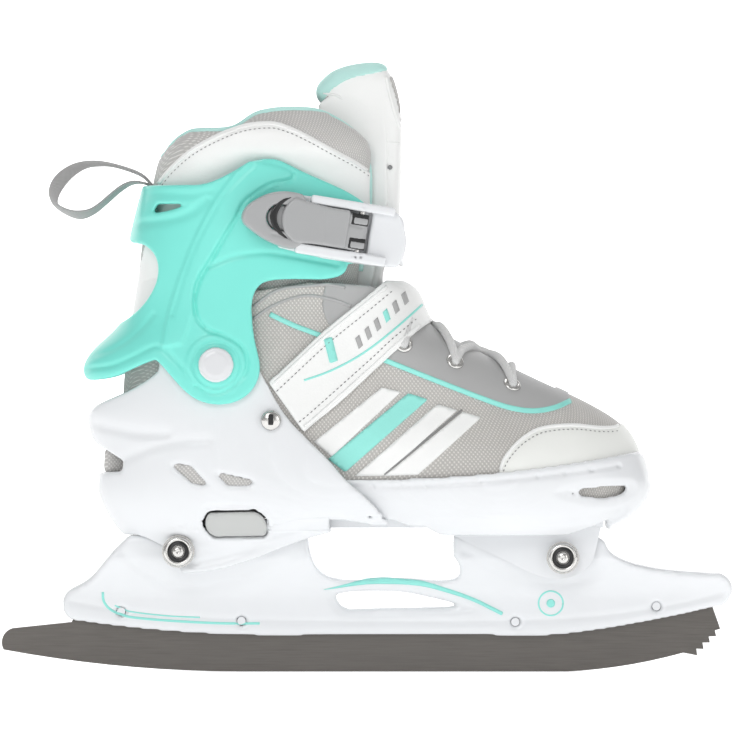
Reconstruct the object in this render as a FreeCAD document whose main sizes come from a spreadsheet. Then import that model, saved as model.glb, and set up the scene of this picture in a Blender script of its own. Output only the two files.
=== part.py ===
import FreeCAD, Part
import math
import os
import Sketcher
from FreeCAD import Placement, Rotation, Vector

# Adjustable ice skate for the right foot, millimetres. +X is the toe, +Z is up, and the outer side of the
# foot faces -Y. The origin is the middle of the runner's edge.
#
# An outline is a list of stretches. A stretch of two points is a straight line, one of three points is an
# arc through them, and one of four or more is a smooth curve. Each stretch starts where the last one ends.

SIZES = {
    # steel runner
    "blade_thickness": 3.0,
    "blade_slot_width": 3.1,
    "pin_radius": 2.0,
    # runner holder
    "holder_width": 30.0,
    "bolt_radius": 4.0,
    "bolt_head_radius": 6.6,
    "bolt_head_height": 3.6,
    "washer_radius": 7.8,
    "washer_thickness": 1.0,
    "nut_radius": 6.6,
    "rear_bolt_x": -90.2,
    "rear_bolt_z": 58.2,
    "front_bolt_x": 94.7,
    "front_bolt_z": 55.2,
    "flange_half_width": 21.5,
    "ear_half_width": 19.5,
    # sole
    "sole_bottom": 69.7,
    "sole_thickness": 3.8,
    "sole_half_width": 26.0,
    "sole_tail_half_width": 18.0,
    "sole_screw_radius": 2.4,
    "sole_screw_length": 7.2,
    # moulded shells
    "shell_wall": 3.0,
    "cuff_wall": 3.3,
    "upper_wall": 2.0,
    "pillar_gap": 0.3,
    "channel_half_width": 26.4,
    "channel_top": 73.9,
    "front_floor": 77.0,
    # ankle pivots
    "pivot_x": -71.8,
    "pivot_z": 147.9,
    "rivet_radius": 4.0,
    "rivet_head_radius": 9.8,
    "rivet_head_height": 3.2,
    "bush_radius": 5.5,
    "pivot_hole_radius": 5.55,
    "shell_side": 42.3,
    "cuff_side": 46.1,
    "collar_split_radius": 46.0,
    "collar_split_gap": 0.5,
    # soft boot
    "tongue_half_width": 21.4,
    "collar_front_gap": 22.0,
    "insole_thickness": 3.0,
    "lace_radius": 2.0,
    "eyelet_radius": 4.4,
    "eyelet_hole": 2.3,
    # buckle, in its own frame
    "buckle_tilt": 9.0,
    "buckle_yaw": 7.5,
    "lever_pin_radius": 1.5,
    "lever_pin_hole": 1.55,
    "lever_pin_height": 7.2,
    "lever_pin_length": 28.0,
    "frame_base": 2.6,
    "frame_rail": 7.0,
    "lever_bottom": 3.3,
    "lever_top": 11.0,
    "release_pin_radius": 1.2,
    "release_pin_hole": 1.25,
    "release_pin_length": 14.0,
    # pull loop
    "webbing_width": 12.0,
}

PIVOT = (SIZES["pivot_x"], SIZES["pivot_z"])
REAR_BOLT = (SIZES["rear_bolt_x"], SIZES["rear_bolt_z"])
FRONT_BOLT = (SIZES["front_bolt_x"], SIZES["front_bolt_z"])
SHELL_RIVET = (-45.5, 121.3)
PIN_PLACES = [(-118.0, 29.0), (-60.0, 24.5), (72.0, 24.0), (140.0, 31.5)]
EYELETS = [(18.0, 158.6), (43.0, 149.8), (70.0, 139.2)]
WIDE = 140.0  # longer than the skate is wide

document = FreeCAD.newDocument("IceSkate")
sheet = document.addObject("Spreadsheet::Sheet", "Sizes")
nodes = []


def fill_sheet():
    for row, (alias, value) in enumerate(SIZES.items(), start=1):
        sheet.set(f"A{row}", alias)
        sheet.set(f"B{row}", str(value))
        sheet.setAlias(f"B{row}", alias)
    document.recompute()


def size(alias):
    return float(sheet.get(alias))


def bind(item, **bindings):
    """Bind properties such as Radius or Placement__Base__x to expressions over the sheet's cells."""
    for name, expression in bindings.items():
        item.setExpression(name.replace("__", "."), str(expression))


def node(item, label):
    item.Label = label
    nodes.append(item)
    return item


# ---- outlines, sketches and bodies -------------------------------------------------------------------

def stretch_curve(points):
    if len(points) == 2:
        return Part.LineSegment(*points)
    if len(points) == 3:
        return Part.Arc(*points)
    curve = Part.BSplineCurve()
    curve.interpolate(points)
    return curve


def polygon(corners):
    """The stretches of a straight-sided outline."""
    return [[a, b] for a, b in zip(corners, corners[1:] + corners[:1])]


def sketch_on(body, role, outlines, circles=()):
    plane = next(item for item in body.Origin.OriginFeatures if item.Role == role)
    sketch = body.newObject("Sketcher::SketchObject", body.Name + "_sketch")
    sketch.AttachmentSupport = [(plane, "")]
    sketch.MapMode = "FlatFace"
    for outline in outlines:
        for stretch in outline:
            sketch.addGeometry(stretch_curve([Vector(a, b, 0) for a, b in stretch]), False)
    for (a, b), alias in circles:
        index = sketch.addGeometry(Part.Circle(Vector(a, b, 0), Vector(0, 0, 1), size(alias)), False)
        constraint = sketch.addConstraint(Sketcher.Constraint("Radius", index, size(alias)))
        sketch.setExpression(f"Constraints[{constraint}]", f"Sizes.{alias}")
    return sketch


def new_body(name):
    return document.addObject("PartDesign::Body", name)


def add_pad(body, sketch, length, both_ways=True, reverse=False):
    pad = body.newObject("PartDesign::Pad", body.Name + "_pad")
    pad.Profile = sketch
    pad.Reversed = reverse
    pad.Midplane = both_ways
    bind(pad, Length=length)
    document.recompute()
    return pad


def add_pocket(body, sketch, length, both_ways=True, reverse=False):
    """Cut a sketch out of the body, and stop if nothing was cut."""
    before = body.Shape.Volume
    pocket = body.newObject("PartDesign::Pocket", body.Name + "_pocket")
    pocket.Profile = sketch
    pocket.Reversed = reverse
    pocket.Midplane = both_ways
    bind(pocket, Length=length)
    document.recompute()
    if not body.Shape.Volume < before - 0.01:
        raise RuntimeError(f"{body.Name}: a pocket cut nothing")
    return pocket


def side_prism(outline, y_from=-WIDE / 2, y_to=WIDE / 2):
    """The solid that has this side outline in X and Z and runs from y_from to y_to."""
    edges = [stretch_curve([Vector(x, y_from, z) for x, z in stretch]).toShape() for stretch in outline]
    return Part.Face(Part.Wire(edges)).extrude(Vector(0, y_to - y_from, 0))


def both_sides(outline, inner, outer):
    """The same side outline on the outer and the inner side of the foot."""
    return side_prism(outline, -outer, -inner).fuse(side_prism(outline, inner, outer))


def box(x_range, y_range, z_range):
    lengths = [high - low for low, high in (x_range, y_range, z_range)]
    return Part.makeBox(*lengths, Vector(x_range[0], y_range[0], z_range[0]))


def cross_hole(place, radius, y_from=-WIDE / 2, y_to=WIDE / 2):
    x, z = place
    return Part.makeCylinder(radius, y_to - y_from, Vector(x, y_from, z), Vector(0, 1, 0))


def shaped(label, shape):
    """A sub-part whose shape comes from lofted sections."""
    item = document.addObject("Part::Feature", label)
    item.Shape = shape
    item.Placement = Placement()
    return node(item, label)


def solid_of(label):
    """The shape of a sub-part that is already made."""
    return next(item for item in nodes if item.Label == label).Shape


# ---- lofted forms -------------------------------------------------------------------------------------

LOFT_DEGREE = 3
SIDE_STEPS = 4
CAP_STEPS = 7


def superellipse(angle, power):
    """The point of a unit superellipse in this direction."""
    along, across = math.cos(angle), math.sin(angle)
    radius = (abs(along) ** power + abs(across) ** power) ** (-1 / power)
    return radius * along, radius * across


def plan_wire(z, waist_x, mid_x, tip_x, open_width, mid_width, open_x, power, inset):
    """A shoe-like plan outline at height z: straight across at open_x, round at tip_x.

    The half width is open_width from open_x to waist_x, changes smoothly to mid_width at mid_x, and closes
    in a superellipse of this power at the tip. The inset moves the sides and the tip inwards."""
    toward_tip = math.copysign(1.0, tip_x - open_x)
    side = [(open_x, open_width)]
    for step in range(SIDE_STEPS):
        part = step / SIDE_STEPS
        rise = part * part * (3 - 2 * part)
        side.append((waist_x + part * (mid_x - waist_x), open_width + rise * (mid_width - open_width)))
    for step in range(CAP_STEPS + 1):
        width, reach = superellipse(step / CAP_STEPS * math.pi / 2, power)
        side.append((mid_x + reach * (tip_x - mid_x), mid_width * width))
    scale_x = (tip_x - toward_tip * inset - mid_x) / (tip_x - mid_x)
    points = []
    for x, width in side:
        moved_x = mid_x + (x - mid_x) * scale_x if (x - mid_x) * toward_tip > 0 else x
        points.append(Vector(moved_x, width - inset * min(1.0, width / 12.0), z))
    points[-1].y = 0.0
    mirrored = [Vector(point.x, -point.y, z) for point in reversed(points[:-1])]
    curve = Part.BSplineCurve()
    curve.interpolate(points + mirrored)
    return Part.Wire([curve.toShape(), Part.LineSegment(mirrored[-1], points[0]).toShape()])


def plan_loft(sections, open_x, power, inset=0.0):
    wires = [plan_wire(*section, open_x, power, inset) for section in sections]
    return Part.makeLoft(wires, True, False, False, LOFT_DEGREE)


def ring_wire(z, rear_x, front_x, half_width, power, inset):
    """A closed superellipse around the leg."""
    middle = (rear_x + front_x) / 2
    reach = (front_x - rear_x) / 2 - inset
    count = 24
    points = []
    for step in range(count):
        along, across = superellipse(2 * math.pi * step / count, power)
        points.append(Vector(middle + reach * along, (half_width - inset) * across, z))
    curve = Part.BSplineCurve()
    curve.interpolate(points, PeriodicFlag=True)
    return Part.Wire([curve.toShape()])


def ring_loft(sections, power, inset=0.0):
    wires = [ring_wire(*section, power, inset) for section in sections]
    return Part.makeLoft(wires, True, False, False, LOFT_DEGREE)


# Plan sections: height, waist x, mid x, tip x, half width at the open end, half width at mid x.
HEEL_OPEN_X = 30.0
HEEL_SECTIONS = [
    (44, -30, -50, -112, 21.5, 21.5),
    (58, -30, -50, -115.5, 22, 22),
    (64, -30, -50, -118, 26.5, 26),
    (70, -30, -50, -121.5, 33.5, 33),
    (76, -25, -50, -125, 38.7, 37.4),
    (86, -20, -50, -129, 42.6, 41),
    (100, -20, -50, -129.5, 43.6, 42.2),
    (114, -20, -50, -132.5, 43.4, 42.3),
    (124, -20, -50, -134.5, 42.8, 42.3),
    (140, -20, -50, -132, 42.3, 42.3),
    (172, -20, -50, -131, 42.3, 42.3),
]
HEEL_POWER = 2.3

FRONT_OPEN_X = -44.0
FRONT_SECTIONS = [
    (65, -10, 60, 111, 27.8, 35),
    (70, -10, 60, 121.5, 28.3, 41),
    (74, -10, 60, 129, 30.5, 44),
    (81, -10, 60, 135, 34.5, 47),
    (88, -10, 60, 137.6, 37, 48.6),
    (96, -10, 60, 137.4, 38.8, 49),
    (108, -10, 60, 134, 39, 48.4),
]
FRONT_POWER = 2.3

UPPER_OPEN_X = -78.0
UPPER_SECTIONS = [
    (77.3, -10, 60, 128, 30.4, 41),
    (84, -10, 60, 132, 32.8, 44.2),
    (93, -10, 60, 133.6, 35.2, 45.3),
    (100, -10, 60, 132.8, 36.8, 45.8),
    (107, -14, 58, 130.4, 37.8, 45),
    (113, -18, 54, 127.6, 38.5, 43.2),
    (119, -22, 50, 122.6, 38.6, 40.6),
    (126, -26, 42, 112.5, 38.6, 38),
    (133, -30, 34, 99, 38.6, 37),
    (139, -32, 26, 86, 38.6, 36.8),
    (148, -34, 14, 67, 38.6, 37),
    (157, -36, 4, 48, 38.6, 37.4),
    (165, -38, -3, 34, 38.6, 37.6),
    (175, -40, -8, 26, 38.6, 37.8),
    (187, -40, -10, 18, 38.6, 37.8),
    (202, -40, -10, 10.5, 38.6, 37.8),
]
UPPER_POWER = 2.2

CUFF_OPEN_X = 12.0
CUFF_SECTIONS = [
    (122, -40, -60, -135.5, 46.1, 46.1),
    (141, -40, -60, -135.6, 46.1, 46.1),
    (151, -35, -60, -135, 46.0, 46.1),
    (160, -30, -60, -126.5, 45.6, 46.2),
    (168, -25, -60, -119, 44.6, 46.4),
    (185, -20, -60, -116, 43, 46.8),
    (206, -10, -60, -114.5, 41.2, 47.4),
    (220, -5, -60, -111.5, 41, 48),
    (235, -5, -60, -107.5, 41, 48.6),
    (252, -5, -60, -103, 41, 49),
]
CUFF_POWER = 2.4

# Ring sections: height, rear x, front x, half width.
BOOT_SECTIONS = [
    (77.6, -114, 0, 29),
    (84, -117.5, 2, 31),
    (93, -119, 3, 33),
    (102, -118.5, 4, 34),
    (133, -117, 4, 35.4),
    (150, -115.5, 4, 35.4),
    (172, -111.5, 5, 35.4),
    (187, -109.5, 6, 35.5),
    (201, -108.5, 7.2, 36),
    (214, -106, 9.2, 36.6),
    (235, -102.5, 10, 37.3),
    (248, -100, 10, 40),
    (262, -96, 10, 40),
    (280, -90, 10, 38),
]
BOOT_POWER = 3.0
FOOT_SECTIONS = [
    (80.5, -104, -8, 22),
    (90, -112, -4, 27),
    (110, -112, -2, 28.6),
    (150, -106, -2, 28.6),
    (200, -98.5, -1, 28.8),
    (250, -95, 0, 30),
    (285, -92, 1, 30),
]


# ---- runner and holder --------------------------------------------------------------------------------

PICK_COUNT = 4


def pick_points():
    """The saw-like toe picks: each tooth has a tip and a root a little above it."""
    points = [(153.0, 9.1)]
    for tooth in range(PICK_COUNT):
        points.append((159.8 + 3.05 * tooth, 7.8 + 3.1 * tooth))
        points.append((159.4 + 2.95 * tooth, 11.0 + 2.95 * tooth))
    return points + [(170.9, 20.6), (167.2, 31.2)]


def make_blade():
    body = new_body("blade")
    picks = pick_points()
    outline = [
        [(-60.0, 0.0), (70.0, 0.0)],
        [(70.0, 0.0), (112.0, 1.2), (153.0, 9.1)],
        *[[a, b] for a, b in zip(picks, picks[1:])],
        [(167.2, 31.2), (158.0, 37.0)],
        [(158.0, 37.0), (112.0, 28.5), (58.0, 26.0)],
        [(58.0, 26.0), (-71.0, 26.4)],
        [(-71.0, 26.4), (-110.0, 28.6), (-138.0, 32.0)],
        [(-138.0, 32.0), (-141.9, 23.9)],
        [(-141.9, 23.9), (-170.4, 20.9)],
        [(-170.4, 20.9), (-175.3, 16.2), (-174.7, 10.6)],
        [(-174.7, 10.6), (-117.3, 2.65), (-60.0, 0.0)],
    ]
    add_pad(body, sketch_on(body, "XZ_Plane", [outline]), "Sizes.blade_thickness")
    holes = sketch_on(body, "XZ_Plane", [], [(place, "pin_radius") for place in PIN_PLACES])
    add_pocket(body, holes, "Sizes.blade_thickness + 2")
    node(body, "blade")


HOLDER_OUTLINE = [
    [(-141.9, 24.9), (-94.2, 19.4), (-24.5, 17.5)],
    [(-24.5, 17.5), (58.0, 17.8)],
    [(58.0, 17.8), (97.0, 18.2), (130.6, 23.3), (147.6, 26.6), (167.2, 31.1)],
    [(167.2, 31.1), (175.4, 35.6), (176.6, 41.0), (173.3, 46.2), (167.8, 47.6)],
    [(167.8, 47.6), (147.6, 49.1), (136.3, 50.7), (124.0, 54.1), (117.1, 58.6), (115.1, 63.0)],
    [(115.1, 63.0), (110.0, 66.0)],
    [(110.0, 66.0), (42.0, 66.0)],
    [(42.0, 66.0), (42.2, 55.2)],
    [(42.2, 55.2), (45.1, 50.7), (44.5, 46.4), (38.9, 44.2), (24.3, 45.0), (6.7, 45.0), (-13.0, 44.8),
     (-20.5, 47.4), (-25.4, 54.0), (-27.4, 65.8)],
    [(-27.4, 65.8), (-114.0, 65.8)],
    [(-114.0, 65.8), (-125.8, 53.5), (-136.1, 43.1), (-145.0, 37.2), (-146.0, 30.2), (-141.9, 24.9)],
]
HOLDER_SLOT = [
    [(-14.5, 37.2), (-12.6, 32.6), (-6.0, 30.4)],
    [(-6.0, 30.4), (36.0, 31.2)],
    [(36.0, 31.2), (43.4, 32.2), (29.8, 36.1), (16.0, 38.6), (1.9, 38.9), (-9.0, 38.4), (-14.5, 37.2)],
]
BLADE_POCKET = [
    [(-180.0, -2.0), (180.0, -2.0)],
    [(180.0, -2.0), (180.0, 37.3)],
    [(180.0, 37.3), (158.0, 37.3)],
    [(158.0, 37.3), (112.0, 28.8), (58.0, 26.3)],
    [(58.0, 26.3), (-71.0, 26.7)],
    [(-71.0, 26.7), (-110.0, 28.9), (-138.3, 32.4)],
    [(-138.3, 32.4), (-180.0, 32.4)],
    [(-180.0, 32.4), (-180.0, -2.0)],
]


def holder_relief(side):
    """What is cut from one side, so that the holder is thin at the runner and wide at its pillars."""
    edge = [(6.0 * side, 10.0), (6.0 * side, 34.0), (7.2 * side, 41.0), (11.0 * side, 48.0), (15.2 * side, 55.0)]
    outer = 30.0 * side
    return [[edge[0], edge[1]], edge[1:], [edge[-1], (outer, 55.0)], [(outer, 55.0), (outer, 10.0)],
            [(outer, 10.0), edge[0]]]


def make_holder():
    body = new_body("blade_holder")
    add_pad(body, sketch_on(body, "XZ_Plane", [HOLDER_OUTLINE, HOLDER_SLOT]), "Sizes.holder_width")
    for side in (-1, 1):
        add_pocket(body, sketch_on(body, "YZ_Plane", [holder_relief(side)]), "400")
    add_pocket(body, sketch_on(body, "XZ_Plane", [BLADE_POCKET]), "Sizes.blade_slot_width")
    bolts = [(REAR_BOLT, "bolt_radius"), (FRONT_BOLT, "bolt_radius")]
    pins = [(place, "pin_radius") for place in PIN_PLACES]
    add_pocket(body, sketch_on(body, "XZ_Plane", [], bolts + pins), "Sizes.holder_width + 2")
    node(body, "blade_holder")


# ---- turned fasteners ---------------------------------------------------------------------------------

def turned(name, kind, place, y_start, outward, **bindings):
    """A cylinder or cone along Y that starts at y_start and runs outward (-1) or inward (+1)."""
    item = document.addObject(f"Part::{kind}", name)
    bind(item, **bindings)
    turn = Rotation(Vector(1, 0, 0), 90 if outward < 0 else -90)
    item.Placement = Placement(Vector(place[0], y_start, place[1]), turn)
    return item


def joined(label, parts):
    item = document.addObject("Part::MultiFuse", label + "_joined")
    item.Shapes = parts
    return item


def group(label, parts):
    item = document.addObject("Part::Compound", label)
    item.Links = parts
    return node(item, label)


def make_blade_pins():
    pins = []
    for place in PIN_PLACES:
        pin = turned("blade_pin", "Cylinder", place, 5.4, -1, Radius="Sizes.pin_radius", Height="10.8")
        pins.append(pin)
    group("blade_pins", pins)


def make_bolts():
    bolts, washers, nuts = [], [], []
    washer_step = size("washer_thickness")
    for place, seat in ((REAR_BOLT, "flange_half_width"), (FRONT_BOLT, "ear_half_width")):
        half = size(seat)
        outer = -(half + washer_step)
        head = turned("bolt_head", "Cone", place, outer, -1, Radius1="Sizes.bolt_head_radius",
                      Radius2="Sizes.bolt_head_radius * 0.72", Height="Sizes.bolt_head_height")
        shank = turned("bolt_shank", "Cylinder", place, outer, 1, Radius="Sizes.bolt_radius - 0.05",
                       Height=f"2 * Sizes.{seat} + 2 * Sizes.washer_thickness + 5")
        solid = joined("bolt", [head, shank])
        socket = document.addObject("Part::Prism", "bolt_socket")
        socket.Polygon = 6
        socket.Circumradius = 2.9
        socket.Height = 3.0
        socket.Placement = Placement(Vector(place[0], outer - size("bolt_head_height") + 2.2, place[1]),
                                     Rotation(Vector(1, 0, 0), 90))
        bolt = document.addObject("Part::Cut", "mount_bolt")
        bolt.Base, bolt.Tool = solid, socket
        bolts.append(bolt)
        for start, way in ((-half, -1), (half, 1)):
            disc = turned("washer_disc", "Cylinder", place, start, way, Radius="Sizes.washer_radius",
                          Height="Sizes.washer_thickness")
            hole = turned("washer_hole", "Cylinder", place, start - way, way, Radius="Sizes.bolt_radius",
                          Height="Sizes.washer_thickness + 2")
            washer = document.addObject("Part::Cut", "washer")
            washer.Base, washer.Tool = disc, hole
            washers.append(washer)
        hexagon = document.addObject("Part::Prism", "nut_hexagon")
        hexagon.Polygon = 6
        bind(hexagon, Circumradius="Sizes.nut_radius")
        hexagon.Height = 4.5
        hexagon.Placement = Placement(Vector(place[0], half + washer_step, place[1]),
                                      Rotation(Vector(1, 0, 0), -90))
        bore = turned("nut_bore", "Cylinder", place, half, 1, Radius="Sizes.bolt_radius", Height="8")
        nut = document.addObject("Part::Cut", "nut")
        nut.Base, nut.Tool = hexagon, bore
        nuts.append(nut)
    group("mount_bolts", bolts)
    group("bolt_washers", washers)
    group("mount_nuts", nuts)


def make_pivots():
    """A rivet and a bush on each side: the bush is fixed in the heel shell and the cuff turns on it."""
    rivets, bushes = [], []
    for way in (-1, 1):
        start = way * (size("shell_side") - size("shell_wall") + 0.1)
        shank = turned("pivot_shank", "Cylinder", PIVOT, start, way, Radius="Sizes.rivet_radius",
                       Height="Sizes.cuff_side - Sizes.shell_side + Sizes.shell_wall + 1")
        head = turned("pivot_head", "Cone", PIVOT, way * (size("cuff_side") + 0.3), way,
                      Radius1="Sizes.rivet_head_radius", Radius2="Sizes.rivet_head_radius * 0.8",
                      Height="Sizes.rivet_head_height")
        rivets.append(joined("pivot_rivet", [shank, head]))
        sleeve = turned("bush_sleeve", "Cylinder", PIVOT, start, way, Radius="Sizes.bush_radius",
                        Height="Sizes.cuff_side - Sizes.shell_side + Sizes.shell_wall")
        bore = turned("bush_bore", "Cylinder", PIVOT, start - way, way, Radius="Sizes.rivet_radius",
                      Height="Sizes.cuff_side - Sizes.shell_side + Sizes.shell_wall + 3")
        bush = document.addObject("Part::Cut", "bush")
        bush.Base, bush.Tool = sleeve, bore
        bushes.append(bush)
    group("pivot_rivets", rivets)
    group("pivot_bushes", bushes)


def make_shell_rivets():
    rivets = []
    for way in (-1, 1):
        head = turned("shell_rivet_head", "Cone", SHELL_RIVET, way * 42.7, way, Radius1="4.8", Radius2="3.6",
                      Height="1.8")
        shank = turned("shell_rivet_shank", "Cylinder", SHELL_RIVET, way * 40.0, way, Radius="2.4", Height="3")
        rivets.append(joined("shell_rivet", [head, shank]))
    group("shell_rivets", rivets)


# ---- sole ---------------------------------------------------------------------------------------------

EAR_OUTLINE = [
    [(34.4, 69.7), (46.6, 63.6)],
    [(46.6, 63.6), (71.4, 51.8)],
    [(71.4, 51.8), (80.0, 47.6), (89.3, 45.1), (98.0, 45.8), (109.4, 54.1)],
    [(109.4, 54.1), (113.0, 69.7)],
    [(113.0, 69.7), (34.4, 69.7)],
]
SOLE_SCREWS = [(-52.0, 17.0), (-32.0, 17.0)]


def screw_places():
    return [(x, side * half) for x, half in SOLE_SCREWS for side in (-1, 1)]


def make_sole_plate():
    """The rail that the front shell slides on, with the ears that the front bolt clamps."""
    body = new_body("sole_plate")
    wide, tail = size("sole_half_width"), size("sole_tail_half_width")
    plan = polygon([(-60, -tail), (-44, -tail), (-38, -wide), (110, -wide), (114, -wide + 4),
                    (114, wide - 4), (110, wide), (-38, wide), (-44, tail), (-60, tail)])
    sketch = sketch_on(body, "XY_Plane", [plan])
    sketch.AttachmentOffset = Placement(Vector(0, 0, size("sole_bottom")), Rotation())
    bind(sketch, AttachmentOffset__Base__z="Sizes.sole_bottom")
    add_pad(body, sketch, "Sizes.sole_thickness", both_ways=False)
    add_pad(body, sketch_on(body, "XZ_Plane", [EAR_OUTLINE]), "2 * Sizes.ear_half_width")
    gap = size("holder_width") / 2 + size("pillar_gap")
    slot = polygon([(-gap, 30.0), (gap, 30.0), (gap, 66.4), (-gap, 66.4)])
    add_pocket(body, sketch_on(body, "YZ_Plane", [slot]), "300")
    add_pocket(body, sketch_on(body, "XZ_Plane", [], [(FRONT_BOLT, "bolt_radius")]), "60")
    screws = [(place, "sole_screw_radius") for place in screw_places()]
    add_pocket(body, sketch_on(body, "XY_Plane", [], screws), "200")
    node(body, "sole_plate")


def make_sole_screws():
    """Screws from above, through the sole plate's tail and into the heel shell's floor."""
    screws = []
    for x, y in screw_places():
        screw = document.addObject("Part::Cylinder", "sole_screw")
        bind(screw, Radius="Sizes.sole_screw_radius", Height="Sizes.sole_screw_length",
             Placement__Base__x=x, Placement__Base__y=y,
             Placement__Base__z="Sizes.sole_bottom + Sizes.sole_thickness - Sizes.sole_screw_length")
        screws.append(screw)
    group("sole_screws", screws)


# ---- moulded shells -----------------------------------------------------------------------------------

HEEL_OUTLINE = [
    [(-97.0, 161.0), (-99.8, 145.1)],
    [(-99.8, 145.1), (-106.7, 139.7), (-122.0, 132.1), (-131.0, 127.4), (-134.6, 122.0), (-133.8, 116.8),
     (-131.1, 111.6), (-125.8, 107.6)],
    [(-125.8, 107.6), (-116.6, 101.8)],
    [(-116.6, 101.8), (-117.2, 97.0)],
    [(-117.2, 97.0), (-128.9, 96.2)],
    [(-128.9, 96.2), (-129.6, 90.0), (-127.3, 82.3), (-122.0, 72.4), (-116.6, 66.2)],
    [(-116.6, 66.2), (-99.0, 49.6)],
    [(-99.0, 49.6), (-92.0, 47.8), (-83.7, 47.7), (-68.4, 50.2), (-45.5, 57.8), (-31.7, 63.2),
     (-12.2, 68.4), (12.2, 70.0)],
    [(12.2, 70.0), (5.3, 79.7), (-9.9, 93.6), (-18.0, 102.8), (-29.8, 114.5), (-38.1, 123.6),
     (-47.0, 138.6), (-51.5, 146.5)],
    [(-51.5, 146.5), (-58.0, 160.0)],
    [(-58.0, 160.0), (-77.0, 167.0), (-97.0, 161.0)],
]
REAR_VENT = [[(-93.3, 100.3), (-84.5, 99.6)], [(-84.5, 99.6), (-76.0, 90.6)], [(-76.0, 90.6), (-82.9, 91.2)],
             [(-82.9, 91.2), (-93.3, 100.3)]]
FRONT_VENT = [[(-72.2, 96.5), (-53.9, 92.2)], [(-53.9, 92.2), (-56.2, 90.2)], [(-56.2, 90.2), (-66.1, 90.4)],
              [(-66.1, 90.4), (-72.2, 96.5)]]
BUTTON_OUTLINE = [[(-74.9, 77.1), (-54.2, 77.6)], [(-54.2, 77.6), (-47.6, 71.4), (-48.5, 65.9)],
                  [(-48.5, 65.9), (-68.4, 65.6)], [(-68.4, 65.6), (-76.8, 70.0), (-74.9, 77.1)]]
BUTTON_MIDDLE = (-62.0, 71.7)
BUTTON_INNER_Y = 25.0


def grown(outline, middle, gap):
    """The outline with each point moved away from the middle by the gap."""
    moved = []
    for stretch in outline:
        points = []
        for x, z in stretch:
            far = math.hypot(x - middle[0], z - middle[1])
            points.append((x + gap * (x - middle[0]) / far, z + gap * (z - middle[1]) / far))
        moved.append(points)
    return moved


def make_heel_shell():
    outer = plan_loft(HEEL_SECTIONS, HEEL_OPEN_X, HEEL_POWER).common(side_prism(HEEL_OUTLINE))
    cavity = plan_loft(HEEL_SECTIONS, HEEL_OPEN_X, HEEL_POWER, size("shell_wall"))
    cavity = cavity.common(box((-140, 40), (-60, 60), (size("sole_bottom"), 175)))
    pillar = size("holder_width") / 2 + size("pillar_gap")
    shell = outer.cut(cavity)
    shell = shell.cut(box((-125, 20), (-pillar, pillar), (40, 66.2)))
    shell = shell.cut(cross_hole(REAR_BOLT, size("bolt_radius")))
    for low, high in ((-WIDE / 2, -size("flange_half_width")), (size("flange_half_width"), WIDE / 2)):
        shell = shell.cut(cross_hole(REAR_BOLT, size("washer_radius") + 0.2, low, high))
    shell = shell.cut(cross_hole(PIVOT, size("bush_radius")))
    shell = shell.cut(cross_hole(SHELL_RIVET, 2.4))
    for x, y in screw_places():
        shell = shell.cut(Part.makeCylinder(size("sole_screw_radius"), 10, Vector(x, y, 62)))
    for vent in (REAR_VENT, FRONT_VENT):
        shell = shell.cut(side_prism(vent))
    shell = shell.cut(side_prism(grown(BUTTON_OUTLINE, BUTTON_MIDDLE, 0.5), -60, -21.5))
    shaped("heel_shell", shell)


def make_size_button():
    """The button follows the shell's side, and its lug reaches in above the sole plate."""
    face = plan_loft(HEEL_SECTIONS, HEEL_OPEN_X, HEEL_POWER, -0.8)
    head = face.common(side_prism(BUTTON_OUTLINE, -60, -BUTTON_INNER_Y))
    lug = box((-66, -58), (-27, -14), (74.2, 76.6))
    shaped("size_button", head.fuse(lug).removeSplitter())


def make_button_spring():
    """A bent leaf between the button's inner face and a stop on the sole."""
    leaf = polygon_solid([(-74, -18.6), (-74, -19.2), (-66, -21.2), (-57, -19.2), (-57, -18.6), (-66, -20.5)],
                         70.4, 73.0)
    shaped("button_spring", leaf)


def polygon_solid(corners, z_low, z_high):
    wire = Part.makePolygon([Vector(x, y, z_low) for x, y in corners + corners[:1]])
    return Part.Face(wire).extrude(Vector(0, 0, z_high - z_low))


FRONT_OUTLINE = [
    [(-44.0, 92.4), (-9.9, 93.0), (40.2, 94.6), (86.7, 99.2), (130.9, 106.4)],
    [(130.9, 106.4), (135.0, 103.0), (137.9, 92.0), (136.2, 81.5), (130.9, 73.8), (121.6, 67.9), (113.0, 66.0)],
    [(113.0, 66.0), (36.0, 66.2)],
    [(36.0, 66.2), (28.3, 70.3)],
    [(28.3, 70.3), (22.0, 70.3)],
    [(22.0, 70.3), (13.0, 73.4)],
    [(13.0, 73.4), (-44.0, 73.4)],
    [(-44.0, 73.4), (-44.0, 92.4)],
]
TOE_VENT = [
    [(96.5, 87.1), (110.0, 88.9), (124.3, 89.9)],
    [(124.3, 89.9), (124.2, 87.6), (120.7, 85.5), (115.8, 84.6), (108.0, 84.8), (102.0, 85.8), (96.5, 87.1)],
]


def make_front_shell():
    outer = plan_loft(FRONT_SECTIONS, FRONT_OPEN_X, FRONT_POWER).common(side_prism(FRONT_OUTLINE))
    cavity = plan_loft(FRONT_SECTIONS, FRONT_OPEN_X, FRONT_POWER, size("shell_wall"))
    cavity = cavity.common(box((-60, 150), (-60, 60), (size("front_floor"), 120)))
    half = size("channel_half_width")
    channel = box((-60, 115.5), (-half, half), (60, size("channel_top")))
    shaped("front_shell", outer.cut(cavity).cut(channel).cut(side_prism(TOE_VENT)))


def make_size_rack():
    """A toothed tail of the front shell, over the sole plate, that the button's lug holds."""
    corners = [(-44.2, 7.0), (-88, 7.0), (-88, -7.0)]
    tooth = 5.0
    for step in range(8):
        start = -84 + tooth * step
        corners += [(start, -7.0), (start + 1.0, -10.0), (start + 3.0, -10.0), (start + 4.0, -7.0)]
    corners.append((-44.2, -7.0))
    shaped("size_rack", polygon_solid(corners, size("channel_top") + 0.2, size("front_floor") - 0.2))


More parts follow.
